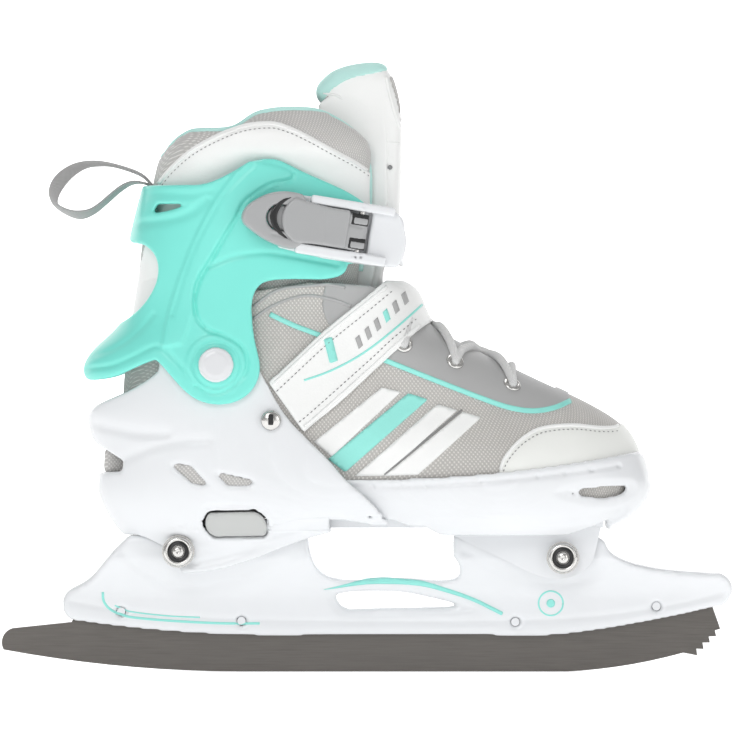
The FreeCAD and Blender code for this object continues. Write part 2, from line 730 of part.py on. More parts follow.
CUFF_OUTLINE = [
    [(-107.4, 234.2), (-83.7, 234.2)],
    [(-83.7, 234.2), (-72.0, 236.4), (-60.7, 242.2), (-52.0, 246.0), (-43.0, 246.3), (-34.0, 242.4),
     (-16.9, 234.7), (-2.0, 226.5), (6.0, 218.0)],
    [(6.0, 218.0), (6.0, 198.0)],
    [(6.0, 198.0), (-8.7, 196.2)],
    [(-8.7, 196.2), (-10.6, 191.8), (-16.0, 189.4), (-28.6, 188.9), (-43.2, 188.5), (-50.4, 186.4),
     (-54.0, 180.5), (-54.6, 172.0), (-52.6, 157.0), (-50.7, 145.8), (-53.6, 137.0), (-60.5, 131.0),
     (-71.0, 128.8), (-82.0, 131.8), (-90.5, 139.2), (-100.6, 150.4)],
    [(-100.6, 150.4), (-112.0, 145.8), (-121.0, 142.1), (-129.0, 140.7), (-134.4, 141.3), (-136.0, 145.5),
     (-134.2, 151.2), (-126.4, 159.9), (-118.4, 168.0)],
    [(-118.4, 168.0), (-110.4, 173.3), (-103.6, 181.2), (-99.8, 191.0), (-100.8, 199.6), (-104.8, 204.4),
     (-112.0, 206.6)],
    [(-112.0, 206.6), (-115.2, 210.0), (-114.4, 215.4), (-111.6, 221.0), (-110.4, 226.1), (-107.4, 234.2)],
]
CUFF_SLOT = [
    [(-102.0, 220.8), (-99.7, 225.0)],
    [(-99.7, 225.0), (-85.2, 225.0)],
    [(-85.2, 225.0), (-92.0, 222.6), (-102.0, 220.8)],
]


def cuff_loft(inset):
    return plan_loft(CUFF_SECTIONS, CUFF_OPEN_X, CUFF_POWER, inset)


def make_cuff():
    outer = cuff_loft(0).common(side_prism(CUFF_OUTLINE))
    cuff = outer.cut(cuff_loft(size("cuff_wall"))).cut(cross_hole(PIVOT, size("pivot_hole_radius")))
    shaped("cuff", cuff.cut(both_sides(CUFF_SLOT, 14, WIDE / 2)))


# ---- soft boot ----------------------------------------------------------------------------------------

COLLAR_OUTLINE = [
    [(-122.0, 148.6), (-118.0, 190.0)],
    [(-118.0, 190.0), (-114.0, 216.0), (-106.0, 236.0), (-101.6, 245.5), (-97.1, 253.7), (-90.0, 259.4),
     (-72.3, 262.1), (-62.4, 265.3), (-50.0, 272.6), (-37.5, 274.8), (-21.0, 271.9), (-4.5, 261.2),
     (5.4, 250.4), (8.6, 236.4), (10.5, 222.0)],
    [(10.5, 222.0), (9.0, 166.0)],
    [(9.0, 166.0), (-40.0, 166.0)],
    [(-40.0, 166.0), (-80.0, 150.0)],
    [(-80.0, 150.0), (-122.0, 148.6)],
]
LINER_OUTLINE = [
    [(-130.0, 77.4), (-130.0, 139.6)],
    [(-130.0, 139.6), (-90.0, 141.6)],
    [(-90.0, 141.6), (-30.0, 150.0)],
    [(-30.0, 150.0), (-6.0, 154.0)],
    [(-6.0, 154.0), (-6.0, 118.0)],
    [(-6.0, 118.0), (-46.5, 100.0)],
    [(-46.5, 100.0), (-46.5, 77.4)],
    [(-46.5, 77.4), (-130.0, 77.4)],
]


def boot_wall():
    """The padded wall around the foot and ankle, before it is split at the ankle pivot."""
    return ring_loft(BOOT_SECTIONS, BOOT_POWER).cut(ring_loft(FOOT_SECTIONS, BOOT_POWER))


def make_liner(wall):
    """The part of the wall that stays with the heel shell."""
    round_pivot = cross_hole(PIVOT, size("collar_split_radius"))
    liner = wall.common(side_prism(LINER_OUTLINE).fuse(round_pivot))
    shaped("liner", liner.common(box((-140, 20), (-60, 60), (77.4, 200))))


def make_collar(wall):
    """The part of the wall that turns with the cuff, so that the two meet on a circle around the pivot."""
    collar = wall.common(side_prism(COLLAR_OUTLINE))
    collar = collar.cut(cross_hole(PIVOT, size("collar_split_radius") + size("collar_split_gap")))
    half = size("collar_front_gap")
    shaped("collar", collar.cut(box((-30, 30), (-half, half), (140, 300))))


UPPER_OUTLINE = [
    [(-44.0, 77.3), (-48.0, 104.0)],
    [(-48.0, 104.0), (-64.0, 124.0)],
    [(-64.0, 124.0), (-60.0, 182.0)],
    [(-60.0, 182.0), (-26.0, 187.0)],
    [(-26.0, 187.0), (0.0, 185.0)],
    [(0.0, 185.0), (24.0, 181.0)],
    [(24.0, 181.0), (60.0, 166.0)],
    [(60.0, 170.0), (150.0, 130.0)],
    [(150.0, 130.0), (150.0, 77.3)],
    [(150.0, 77.3), (-44.0, 77.3)],
]
TOE_CAP_OUTLINE = [
    [(64.6, 98.4), (66.2, 102.6), (70.6, 108.4), (76.2, 113.3), (84.4, 117.2), (98.3, 119.0), (112.0, 117.6),
     (119.3, 117.4)],
    [(119.3, 117.4), (126.0, 124.0)],
    [(126.0, 124.0), (150.0, 120.0)],
    [(150.0, 120.0), (150.0, 107.4)],
    [(150.0, 107.4), (130.9, 107.4)],
    [(130.9, 107.4), (86.7, 100.4), (64.6, 98.4)],
]
EYESTAY_OUTLINE = [
    [(-24.7, 163.1), (11.2, 149.7), (34.0, 140.4), (54.1, 132.8), (68.0, 128.2), (79.7, 126.3),
     (90.0, 127.6), (98.3, 130.4)],
    [(98.3, 130.4), (100.0, 146.0)],
    [(100.0, 146.0), (20.0, 180.0)],
    [(20.0, 180.0), (-24.7, 163.1)],
]
STRAP_OUTLINE = [
    [(-29.8, 115.7), (-46.6, 139.6)],
    [(-46.6, 139.6), (-33.0, 152.0), (-20.5, 163.6), (-4.0, 177.0), (9.6, 188.4)],
    [(9.6, 188.4), (40.0, 188.4)],
    [(40.0, 188.4), (40.0, 171.5)],
    [(40.0, 171.5), (32.0, 169.0), (14.7, 155.3), (5.6, 146.9), (-23.3, 121.4)],
    [(-23.3, 121.4), (-29.8, 115.7)],
]
THROAT_HALF_WIDTH = 11.0
THROAT_TONGUE_HALF_WIDTH = 14.4


def upper_loft(inset):
    return plan_loft(UPPER_SECTIONS, UPPER_OPEN_X, UPPER_POWER, inset)


def upper_layer(inner, outer, region):
    """A layer of the upper between two insets, limited to a region. Negative insets are outside it."""
    return upper_loft(outer).cut(upper_loft(inner)).common(region)


def make_upper():
    hollow = upper_loft(size("upper_wall"))
    hollow = hollow.common(box((-90, 150), (-60, 60), (78.8, 210)))
    throat = side_prism(polygon([(20, 148), (84, 118), (96, 146), (30, 182)]),
                        -THROAT_HALF_WIDTH, THROAT_HALF_WIDTH)
    upper = upper_loft(0).common(side_prism(UPPER_OUTLINE)).cut(hollow).cut(throat)
    shaped("toe_upper", upper.cut(solid_of("front_shell")))
    tongue_region = side_prism(polygon([(4, 150), (70, 118), (100, 118), (100, 150), (34, 178), (4, 178)]),
                               -THROAT_TONGUE_HALF_WIDTH, THROAT_TONGUE_HALF_WIDTH)
    shaped("lace_tongue", upper_layer(4.6, 2.3, tongue_region))


def make_overlays():
    shaped("toe_cap", upper_layer(-0.1, -1.1, side_prism(TOE_CAP_OUTLINE)))
    inner_edge = THROAT_HALF_WIDTH + 0.5
    shaped("eyestay_outer", upper_layer(-0.1, -1.0, side_prism(EYESTAY_OUTLINE, -WIDE / 2, -inner_edge)))
    shaped("eyestay_inner", upper_layer(-0.1, -1.0, side_prism(EYESTAY_OUTLINE, inner_edge, WIDE / 2)))
    shaped("instep_strap", upper_layer(-1.2, -3.0, side_prism(STRAP_OUTLINE)))


TONGUE_OUTLINE = [
    [(-5.0, 168.0), (5.0, 168.0)],
    [(5.0, 168.0), (6.2, 197.0)],
    [(6.2, 197.0), (11.0, 203.0), (13.4, 214.0), (14.4, 230.2), (15.4, 243.9), (16.3, 257.8), (16.3, 268.2),
     (14.4, 279.0), (11.8, 287.6)],
    [(11.8, 287.6), (9.6, 291.6), (4.5, 293.0), (-2.7, 292.2), (-11.0, 290.8), (-18.1, 286.9),
     (-23.1, 281.4), (-26.4, 275.6)],
    [(-26.4, 275.6), (-12.0, 272.0), (2.0, 262.0), (5.6, 250.0), (5.6, 236.0), (2.0, 205.0)],
    [(2.0, 205.0), (-5.0, 168.0)],
]


def make_tongue():
    """The padded tongue, in front of the leg and inside the collar's front gap."""
    half = size("tongue_half_width")
    shaped("tongue", side_prism(TONGUE_OUTLINE, -half, half))


def make_insoles():
    """The heel insole lies on the liner's floor, and the toe insole on the upper's."""
    thickness = size("insole_thickness")
    heel_low, toe_low = 80.9, 79.2
    shaped("heel_insole", ring_loft([(z, -102.5, -49, 20.8) for z in (heel_low, heel_low + thickness)], 2.8))
    shaped("toe_insole", plan_loft([(z, -10, 60, 122, 24, 36) for z in (toe_low, toe_low + thickness)], -40, 2.3))


# ---- laces and eyelets --------------------------------------------------------------------------------

LACE_HALF_SPAN = 15.0
LACE_PLACES = [(37.0, 166.6), (55.0, 157.0), (77.0, 146.6)]


def along_y(name, place, half_length, **bindings):
    item = document.addObject("Part::Cylinder", name)
    bind(item, **bindings)
    item.Height = 2 * half_length
    item.Placement = Placement(Vector(place[0], half_length, place[1]), Rotation(Vector(1, 0, 0), 90))
    return item


def make_laces():
    """Bars of round lace that lie across the throat."""
    bars = [along_y("lace_bar", place, LACE_HALF_SPAN, Radius="Sizes.lace_radius") for place in LACE_PLACES]
    group("shoelace", bars)


def make_eyelets():
    """Rings that stand on the eyestays, tilted with the top of the foot."""
    rings = []
    for x, z in EYELETS:
        for side in (-1, 1):
            tilt = Rotation(Vector(0, 1, 0), 28).multiply(Rotation(Vector(1, 0, 0), -34 * side))
            outer = document.addObject("Part::Cylinder", "eyelet_disc")
            bind(outer, Radius="Sizes.eyelet_radius")
            outer.Height = 1.2
            hole = document.addObject("Part::Cylinder", "eyelet_hole")
            bind(hole, Radius="Sizes.eyelet_hole")
            hole.Height = 3.2
            base = Vector(x + 1.0, side * 19.5, z + 1.0)
            outer.Placement = Placement(base, tilt)
            hole.Placement = Placement(base + tilt.multVec(Vector(0, 0, -1)), tilt)
            ring = document.addObject("Part::Cut", "eyelet")
            ring.Base, ring.Tool = outer, hole
            rings.append(ring)
    group("eyelets", rings)


# ---- buckle -------------------------------------------------------------------------------------------
# The buckle has its own frame: local X runs forward along the lever, local Y up and local Z outward.
# Its origin is under the lever's hinge pin, on the outside of the cuff.

BUCKLE_ORIGIN = Vector(-4.0, -42.8, 212.6)
LEVER_PLAN = [
    [(3.7, 2.6), (3.7, -5.1)],
    [(3.7, -5.1), (0.5, -9.6), (-4.6, -10.4)],
    [(-4.6, -10.4), (-26.2, -10.4)],
    [(-26.2, -10.4), (-29.0, -13.6), (-37.5, -13.8), (-46.9, -10.9), (-54.3, -6.9)],
    [(-54.3, -6.9), (-57.0, -3.0), (-56.4, 0.8), (-51.4, 6.6), (-45.1, 10.6), (-36.0, 12.6), (-29.8, 12.2)],
    [(-29.8, 12.2), (-26.2, 7.9)],
    [(-26.2, 7.9), (-4.3, 6.9)],
    [(-4.3, 6.9), (0.8, 6.0), (3.7, 2.6)],
]
RELEASE_PLAN = [
    [(-12.0, -4.6), (-12.0, 4.4)],
    [(-12.0, 4.4), (-38.0, 5.6)],
    [(-38.0, 5.6), (-45.0, 0.0), (-38.0, -6.4)],
    [(-38.0, -6.4), (-12.0, -4.6)],
]
FRAME_PLAN = [
    [(-36.7, -14.5), (-14.8, -16.3)],
    [(-14.8, -16.3), (7.5, -16.1)],
    [(7.5, -16.1), (20.7, -15.2)],
    [(20.7, -15.2), (22.4, -11.9), (21.9, 2.9)],
    [(21.9, 2.9), (18.3, 9.8), (11.2, 11.6)],
    [(11.2, 11.6), (0.7, 13.0)],
    [(0.7, 13.0), (-29.8, 12.2)],
    [(-29.8, 12.2), (-36.7, 6.0), (-36.7, -14.5)],
]
FRAME_WELL = polygon([(-40.0, -18.0), (-25.0, -18.0), (-25.0, -10.8), (5.2, -10.8), (5.2, 8.6),
                      (-25.0, 8.6), (-25.0, 16.0), (-40.0, 16.0)])
RELEASE_PIN_X = -15.0
RELEASE_PIN_Z = 6.4


def buckle_placement():
    """Local axes: forward and slightly down, up, and outward."""
    tilt, yaw = math.radians(size("buckle_tilt")), math.radians(size("buckle_yaw"))
    forward = Vector(math.cos(yaw) * math.cos(tilt), math.sin(yaw) * math.cos(tilt), -math.sin(tilt))
    up = Vector(math.cos(yaw) * math.sin(tilt), math.sin(yaw) * math.sin(tilt), math.cos(tilt))
    outward = forward.cross(up)
    return Placement(BUCKLE_ORIGIN, Rotation(forward, up, outward, "XYZ"))


def offset_sketch(body, outlines, height, circles=()):
    sketch = sketch_on(body, "XY_Plane", outlines, circles)
    bind(sketch, AttachmentOffset__Base__z=height)
    return sketch


def make_buckle_frame():
    """A base with two raised rails; the lever lies between them and turns on a pin through both."""
    body = new_body("buckle_frame")
    add_pad(body, offset_sketch(body, [FRAME_PLAN], "0"), "Sizes.frame_rail", both_ways=False)
    well = offset_sketch(body, [FRAME_WELL], "Sizes.frame_base")
    add_pocket(body, well, "Sizes.frame_rail", both_ways=False, reverse=True)
    knuckles = []
    for low, high in ((8.6, 12.6), (-15.8, -10.8)):
        knuckles.append(polygon([(-4.2, low), (4.8, low), (4.8, high), (-4.2, high)]))
    add_pad(body, offset_sketch(body, knuckles, "Sizes.frame_base"), "8.2", both_ways=False)
    hole = sketch_on(body, "XZ_Plane", [], [((0.0, size("lever_pin_height")), "lever_pin_radius")])
    add_pocket(body, hole, "80")
    body.Placement = buckle_placement()
    node(body, "buckle_frame")


def make_lever():
    body = new_body("buckle_lever")
    add_pad(body, offset_sketch(body, [LEVER_PLAN], "Sizes.lever_bottom"),
            "Sizes.lever_top - Sizes.lever_bottom", both_ways=False)
    add_pocket(body, offset_sketch(body, [grown(RELEASE_PLAN, (-28.0, 0.0), 0.6)], "0"), "20",
               both_ways=False, reverse=True)
    nose = [[(0.0, 11.2), (9.0, 11.2)], [(9.0, 11.2), (9.0, 3.0)], [(9.0, 3.0), (0.0, 3.0)],
            [(0.0, 3.0), (3.8, 7.2), (0.0, 11.2)]]
    add_pocket(body, sketch_on(body, "XZ_Plane", [nose]), "80")
    pins = [((0.0, size("lever_pin_height")), "lever_pin_hole")]
    add_pocket(body, sketch_on(body, "XZ_Plane", [], pins), "80")
    pins = [((RELEASE_PIN_X, RELEASE_PIN_Z), "release_pin_radius")]
    add_pocket(body, sketch_on(body, "XZ_Plane", [], pins), "14.2")
    body.Placement = buckle_placement()
    node(body, "buckle_lever")


def make_release():
    body = new_body("buckle_release")
    add_pad(body, offset_sketch(body, [RELEASE_PLAN], "Sizes.lever_bottom + 1.6"), "4.2", both_ways=False)
    pins = [((RELEASE_PIN_X, RELEASE_PIN_Z), "release_pin_hole")]
    add_pocket(body, sketch_on(body, "XZ_Plane", [], pins), "40")
    body.Placement = buckle_placement()
    node(body, "buckle_release")


def buckle_pin(label, local_x, local_z, low_y, radius, length):
    """A pin along the buckle's local Y."""
    pin = document.addObject("Part::Cylinder", label)
    bind(pin, Radius=radius, Height=length)
    upright = Placement(Vector(local_x, low_y, local_z), Rotation(Vector(1, 0, 0), -90))
    pin.Placement = buckle_placement().multiply(upright)
    return node(pin, label)


def make_buckle_pins():
    buckle_pin("lever_pin", 0.0, size("lever_pin_height"), -15.6, "Sizes.lever_pin_radius",
               "Sizes.lever_pin_length")
    buckle_pin("release_pin", RELEASE_PIN_X, RELEASE_PIN_Z, -7.0, "Sizes.release_pin_radius",
               "Sizes.release_pin_length")


def make_release_spring():
    """A bent leaf under the release, on the lever's pin side."""
    leaf = polygon([(-11.4, 3.4), (-34.0, 3.4), (-34.0, 3.6), (-26.0, 4.1), (-11.4, 3.9)])
    body = new_body("release_spring")
    add_pad(body, sketch_on(body, "XZ_Plane", [leaf]), "5")
    body.Placement = buckle_placement()
    node(body, "release_spring")


STRAP_POWER = 4.2
STRAP_BAND = [
    [(-34.0, 207.0), (-34.0, 228.0)],
    [(-34.0, 228.0), (18.5, 219.0)],
    [(18.5, 219.0), (18.5, 195.2)],
    [(18.5, 195.2), (-34.0, 207.0)],
]


def make_buckle_strap():
    """The strap from the cuff's inner side, round the tongue, to the front of the buckle frame."""
    outer = ring_loft([(190, -98, 18.6, 48.2), (235, -98, 18.6, 48.2)], STRAP_POWER)
    inner = ring_loft([(189, -98, 18.6, 48.2), (236, -98, 18.6, 48.2)], STRAP_POWER, 2.2)
    band = outer.cut(inner).common(side_prism(STRAP_BAND))
    band = band.cut(box((-60, 7), (-70, 0), (180, 240))).cut(solid_of("cuff"))
    shaped("buckle_strap", band.cut(solid_of("buckle_frame")))
    screw_side = 48.3
    head = turned("strap_screw", "Cone", (-24.0, 214.6), screw_side, 1, Radius1="5", Radius2="3.6", Height="1.8")
    node(head, "strap_screw")


def make_frame_rivets():
    """Two rivets that hold the buckle frame to the cuff's outer wing."""
    rivets = []
    for local_x in (-31.0, -8.0):
        rivet = document.addObject("Part::Cylinder", "frame_rivet")
        rivet.Radius = 2.6
        rivet.Height = 0.6
        rivet.Placement = buckle_placement().multiply(Placement(Vector(local_x, -1.0, size("frame_base")),
                                                                Rotation()))
        rivets.append(rivet)
    group("frame_rivets", rivets)


# ---- pull loop ----------------------------------------------------------------------------------------

LOOP_OUTER = [
    [(-104.4, 235.4), (-112.0, 242.4), (-122.0, 245.2), (-134.0, 247.0), (-143.0, 245.4), (-150.4, 239.6),
     (-154.0, 231.0), (-150.4, 223.4), (-142.0, 218.4), (-134.0, 218.2), (-126.6, 222.3), (-118.0, 229.6),
     (-110.4, 234.4)],
    [(-110.4, 234.4), (-104.4, 235.4)],
]
LOOP_INNER = [
    [(-115.4, 238.6), (-123.0, 242.0), (-134.0, 244.2), (-141.8, 242.8), (-148.0, 238.0), (-151.0, 231.2),
     (-148.2, 225.4), (-141.4, 221.2), (-134.6, 221.2), (-128.4, 224.8), (-120.8, 231.6), (-115.8, 235.2)],
    [(-115.8, 235.2), (-115.4, 238.6)],
]


def make_pull_loop():
    body = new_body("pull_loop")
    add_pad(body, sketch_on(body, "XZ_Plane", [LOOP_OUTER, LOOP_INNER]), "Sizes.webbing_width")
    node(body, "pull_loop")


# ---- checks and export --------------------------------------------------------------------------------

def check_model():
    for item in document.Objects:
        if "Invalid" in item.State or "Error" in item.State:
            raise RuntimeError(f"{item.Label}: {item.State}")
    for item in nodes:
        if item.Shape.isNull() or not item.Shape.isValid() or not item.Shape.Solids:
            raise RuntimeError(f"{item.Label} has no valid solid")


def export_nodes():
    os.makedirs("parts", exist_ok=True)
    for item in nodes:
        item.Shape.exportStep(f"parts/{item.Label}.step")


def main():
    fill_sheet()
    make_blade()
    make_holder()
    make_blade_pins()
    make_bolts()
    make_heel_shell()
    make_sole_plate()
    make_sole_screws()
    make_size_button()
    make_button_spring()
    make_pivots()
    make_shell_rivets()
    make_front_shell()
    make_size_rack()
    make_cuff()
    wall = boot_wall()
    make_liner(wall)
    make_collar(wall)
    make_upper()
    make_overlays()
    make_tongue()
    make_insoles()
    make_laces()
    make_eyelets()
    make_buckle_frame()
    make_lever()
    make_release()
    make_buckle_pins()
    make_release_spring()
    make_buckle_strap()
    make_frame_rivets()
    make_pull_loop()
    document.recompute()
    check_model()
    export_nodes()


main()
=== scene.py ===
import math

import bpy
import numpy as np
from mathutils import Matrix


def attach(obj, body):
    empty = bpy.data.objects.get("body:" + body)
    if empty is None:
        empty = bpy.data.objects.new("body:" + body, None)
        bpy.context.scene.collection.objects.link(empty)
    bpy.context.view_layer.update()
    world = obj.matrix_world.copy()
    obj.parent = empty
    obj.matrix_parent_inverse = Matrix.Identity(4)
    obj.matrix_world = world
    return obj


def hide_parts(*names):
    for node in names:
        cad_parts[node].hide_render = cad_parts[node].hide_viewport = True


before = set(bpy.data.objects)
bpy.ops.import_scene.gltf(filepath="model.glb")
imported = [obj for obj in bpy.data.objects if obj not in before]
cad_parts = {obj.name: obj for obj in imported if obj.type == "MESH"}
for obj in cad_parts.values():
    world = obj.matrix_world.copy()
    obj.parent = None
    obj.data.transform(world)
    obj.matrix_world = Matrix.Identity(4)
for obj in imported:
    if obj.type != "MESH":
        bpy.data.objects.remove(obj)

import openvdb as vdb
from mathutils import Vector
from mathutils.bvhtree import BVHTree
from mathutils.geometry import delaunay_2d_cdt

# An adjustable ice skate. Moulded and sewn pieces are worked out as distance fields in millimetres from the
# CAD solids, which rounds their edges and cuts their grooves, and the fabric pads are then inflated as
# cloth. Side outlines are lists of (x, z) points in millimetres in the frame's own axes.

MM = 0.001
OUTER, INNER = -1, 1  # the side of the foot that faces -Y, and the one that faces +Y
SIDES = ((OUTER, "outer"), (INNER, "inner"))
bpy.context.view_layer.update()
scene = bpy.context.scene


# ---- camera, light and stage ---------------------------------------------------------------------------

def add_camera():
    """Square on to the outer side, through a long lens."""
    distance, view_width, sensor = 6.0, 0.3533, 36.0
    data = bpy.data.cameras.new("camera")
    data.lens = sensor * distance / view_width
    data.clip_end = 50
    camera = bpy.data.objects.new("camera", data)
    camera.location = (0.0010, -distance - 0.03, 0.1464)
    camera.rotation_euler = (math.radians(90), 0, 0)
    scene.collection.objects.link(camera)
    scene.camera = camera


def add_area_light(name, place, aim, width, watts):
    data = bpy.data.lights.new(name, "AREA")
    data.shape = "DISK"
    data.size = width
    data.energy = watts
    light = bpy.data.objects.new(name, data)
    light.location = place
    light.rotation_euler = (Vector(aim) - Vector(place)).to_track_quat("-Z", "Y").to_euler()
    scene.collection.objects.link(light)


def add_sheet(name, corners, look):
    mesh = bpy.data.meshes.new(name)
    mesh.from_pydata(corners, [], [(0, 1, 2, 3)])
    mesh.materials.append(look.material)
    item = bpy.data.objects.new(name, mesh)
    scene.collection.objects.link(item)
    return item


def pale_paint(name, glow):
    """A matt, nearly white paint with a faint mottle, and a glow that keeps it white in the picture."""
    look = Look(name, (0.9, 0.9, 0.9), 0.9)
    mottle = look.noise(3.0, 2)
    look.colours(mottle, (0.88, 0.88, 0.88), (0.92, 0.92, 0.92))
    look.shader.inputs["Emission Color"].default_value = (1, 1, 1, 1)
    look.shader.inputs["Emission Strength"].default_value = glow
    return look


def add_studio():
    scene.view_settings.view_transform = "Standard"
    world = bpy.data.worlds.new("studio")
    world.use_nodes = True
    world.node_tree.nodes["Background"].inputs["Color"].default_value = (1, 1, 1, 1)
    world.node_tree.nodes["Background"].inputs["Strength"].default_value = 0.36
    scene.world = world
    aim = (0.0, 0.0, 0.13)
    add_area_light("front", (-0.7, -2.2, 1.3), aim, 1.3, 15)
    add_area_light("fill", (1.5, -1.5, 0.6), aim, 1.0, 4)
    add_area_light("top", (-0.1, 0.25, 2.0), aim, 0.8, 8)
    half, back, high = 10.0, 8.5, 9.0
    ground = [(-half, -half, 0), (half, -half, 0), (half, back, 0), (-half, back, 0)]
    wall = [(-half, back, 0), (half, back, 0), (half, back, high), (-half, back, high)]
    floor = add_sheet("floor", ground, pale_paint("floor_paint", 0.62))
    backdrop = add_sheet("backdrop", wall, pale_paint("backdrop_paint", 0.95))


# ---- materials -----------------------------------------------------------------------------------------

class Look:
    """A material with one Principled shader, and short calls that add nodes to it."""

    def __init__(self, name, colour, roughness, **sockets):
        self.material = bpy.data.materials.new(name)
        self.material.use_nodes = True
        self.tree = self.material.node_tree
        self.shader = self.tree.nodes["Principled BSDF"]
        self.shader.inputs["Base Color"].default_value = (*colour, 1)
        self.shader.inputs["Roughness"].default_value = roughness
        for socket, value in sockets.items():
            self.shader.inputs[socket.replace("_", " ")].default_value = value
        self.place = self.add("ShaderNodeTexCoord").outputs["Object"]

    def add(self, kind, inputs=None, **settings):
        node = self.tree.nodes.new(kind)
        for key, value in settings.items():
            setattr(node, key, value)
        for key, value in (inputs or {}).items():
            if isinstance(value, bpy.types.NodeSocket):
                self.tree.links.new(value, node.inputs[key])
            else:
                node.inputs[key].default_value = value
        return node

    def math(self, operation, *values):
        return self.add("ShaderNodeMath", dict(enumerate(values)), operation=operation).outputs[0]

    def blend(self, factor, low, high):
        return self.add("ShaderNodeMapRange", {"Value": factor, "To Min": low, "To Max": high}).outputs[0]

    def colours(self, factor, low, high, socket="Base Color"):
        mix = self.add("ShaderNodeMix", {0: factor, 6: (*low, 1), 7: (*high, 1)}, data_type="RGBA")
        self.tree.links.new(mix.outputs[2], self.shader.inputs[socket])
        return mix.outputs[2]

    def roughness(self, factor, low, high):
        self.tree.links.new(self.blend(factor, low, high), self.shader.inputs["Roughness"])

    def bump(self, height, depth, strength=1.0):
        node = self.add("ShaderNodeBump", {"Height": height, "Distance": depth, "Strength": strength})
        previous = self.shader.inputs["Normal"].links
        if previous:
            self.tree.links.new(previous[0].from_socket, node.inputs["Normal"])
        self.tree.links.new(node.outputs["Normal"], self.shader.inputs["Normal"])

    def noise(self, scale, detail=3.0, stretch=(1, 1, 1)):
        mapping = self.add("ShaderNodeMapping", {"Vector": self.place, "Scale": stretch})
        inputs = {"Vector": mapping.outputs[0], "Scale": scale, "Detail": detail}
        return self.add("ShaderNodeTexNoise", inputs).outputs["Fac"]


def shade(colour, factor):
    return tuple(channel * factor for channel in colour)


def moulded(name, colour, roughness, coat=0.25):
    """Injection-moulded plastic: faint flow marks, fine orange peel and small scuffs in the gloss."""
    look = Look(name, colour, roughness, Coat_Weight=coat, Coat_Roughness=0.12, IOR=1.48)
    look.colours(look.noise(26, 4), shade(colour, 0.955), shade(colour, 1.03))
    look.roughness(look.noise(90, 5), roughness * 0.75, roughness * 1.35)
    look.bump(look.noise(420, 2), 0.00004, 0.5)
    look.bump(look.noise(38, 2), 0.00012, 0.35)
    return look.material


def steel(name, colour, roughness):
    """Ground steel with fine lines along the runner."""
    look = Look(name, colour, roughness, Metallic=1.0)
    lines = look.noise(60, 6, (1, 8, 26))
    look.colours(lines, shade(colour, 0.78), shade(colour, 1.22))
    look.roughness(lines, roughness * 0.7, roughness * 1.4)
    look.bump(lines, 0.00004, 0.6)
    return look.material


def plated(name, colour, roughness):
    """Plated steel: soft clouding and faint turning marks."""
    look = Look(name, colour, roughness, Metallic=1.0)
    marks = look.noise(160, 2)
    look.colours(marks, shade(colour, 0.9), shade(colour, 1.05))
    look.roughness(marks, roughness * 0.7, roughness * 1.4)
    look.bump(marks, 0.00002, 0.25)
    return look.material


def coated_leather(name, colour, roughness, depth=0.00010):
    """Smooth synthetic leather: a fine pebble grain, soft creases and a slight change of tone."""
    look = Look(name, colour, roughness, Sheen_Weight=0.08, Coat_Weight=0.10, Coat_Roughness=0.35)
    cells = look.add("ShaderNodeTexVoronoi", {"Vector": look.place, "Scale": 900.0}, feature="SMOOTH_F1")
    grain = cells.outputs["Distance"]
    look.colours(look.noise(34, 4), shade(colour, 0.94), shade(colour, 1.03))
    look.roughness(grain, roughness * 0.85, roughness * 1.2)
    look.bump(grain, depth, 0.45)
    look.bump(look.noise(70, 3), 0.0003, 0.30)
    return look.material


def thread_coordinates(look, pitch_u, pitch_v):
    """Phases of two thread directions that run round the foot and up its side."""
    parts = look.add("ShaderNodeSeparateXYZ", {"Vector": look.place})
    x, y, z = parts.outputs
    round_foot = look.math("SUBTRACT", x, look.math("MULTIPLY", look.math("ABSOLUTE", y), 0.9))
    up_side = look.math("SUBTRACT", z, look.math("MULTIPLY", look.math("ABSOLUTE", y), 0.35))
    return (look.math("MULTIPLY", round_foot, 2 * math.pi / pitch_u),
            look.math("MULTIPLY", up_side, 2 * math.pi / pitch_v))


def knit_mesh(name, light, dark, pitch=0.0019):
    """Knitted spacer mesh: staggered eyelets between lighter yarns, a little uneven between stitches."""
    look = Look(name, light, 0.85, Sheen_Weight=0.35, Sheen_Roughness=0.5)
    u, v = thread_coordinates(look, pitch, pitch * 1.25)
    wander = look.math("MULTIPLY", look.noise(160, 2), 2.2)
    u, v = look.math("ADD", u, wander), look.math("ADD", v, wander)
    rows = look.math("MULTIPLY", look.math("SINE", u), look.math("SINE", v))
    ribs = look.math("MULTIPLY", look.math("SINE", look.math("ADD", u, v)), 0.35)
    yarn = look.blend(look.math("ADD", rows, ribs), 0.5, 1.0)
    tint = look.math("MULTIPLY", yarn, look.blend(look.noise(40, 4), 0.8, 1.15))
    look.colours(tint, dark, light)
    look.bump(yarn, 0.0005, 0.7)
    return look.material


def woven(name, light, dark, pitch=0.0012):
    """Flat woven tape: crossed threads and fuzz."""
    look = Look(name, light, 0.8, Sheen_Weight=0.3, Sheen_Roughness=0.5)
    parts = look.add("ShaderNodeSeparateXYZ", {"Vector": look.place})
    across = look.math("MULTIPLY", parts.outputs[1], 2 * math.pi / pitch)
    along = look.math("MULTIPLY", look.math("ADD", parts.outputs[0], parts.outputs[2]), 2 * math.pi / pitch)
    threads = look.math("MULTIPLY", look.math("SINE", across), look.math("SINE", along))
    look.colours(look.blend(threads, 0.3, 1.0), dark, light)
    look.bump(threads, 0.00025, 0.7)
    look.bump(look.noise(900, 2), 0.0001, 0.4)
    return look.material


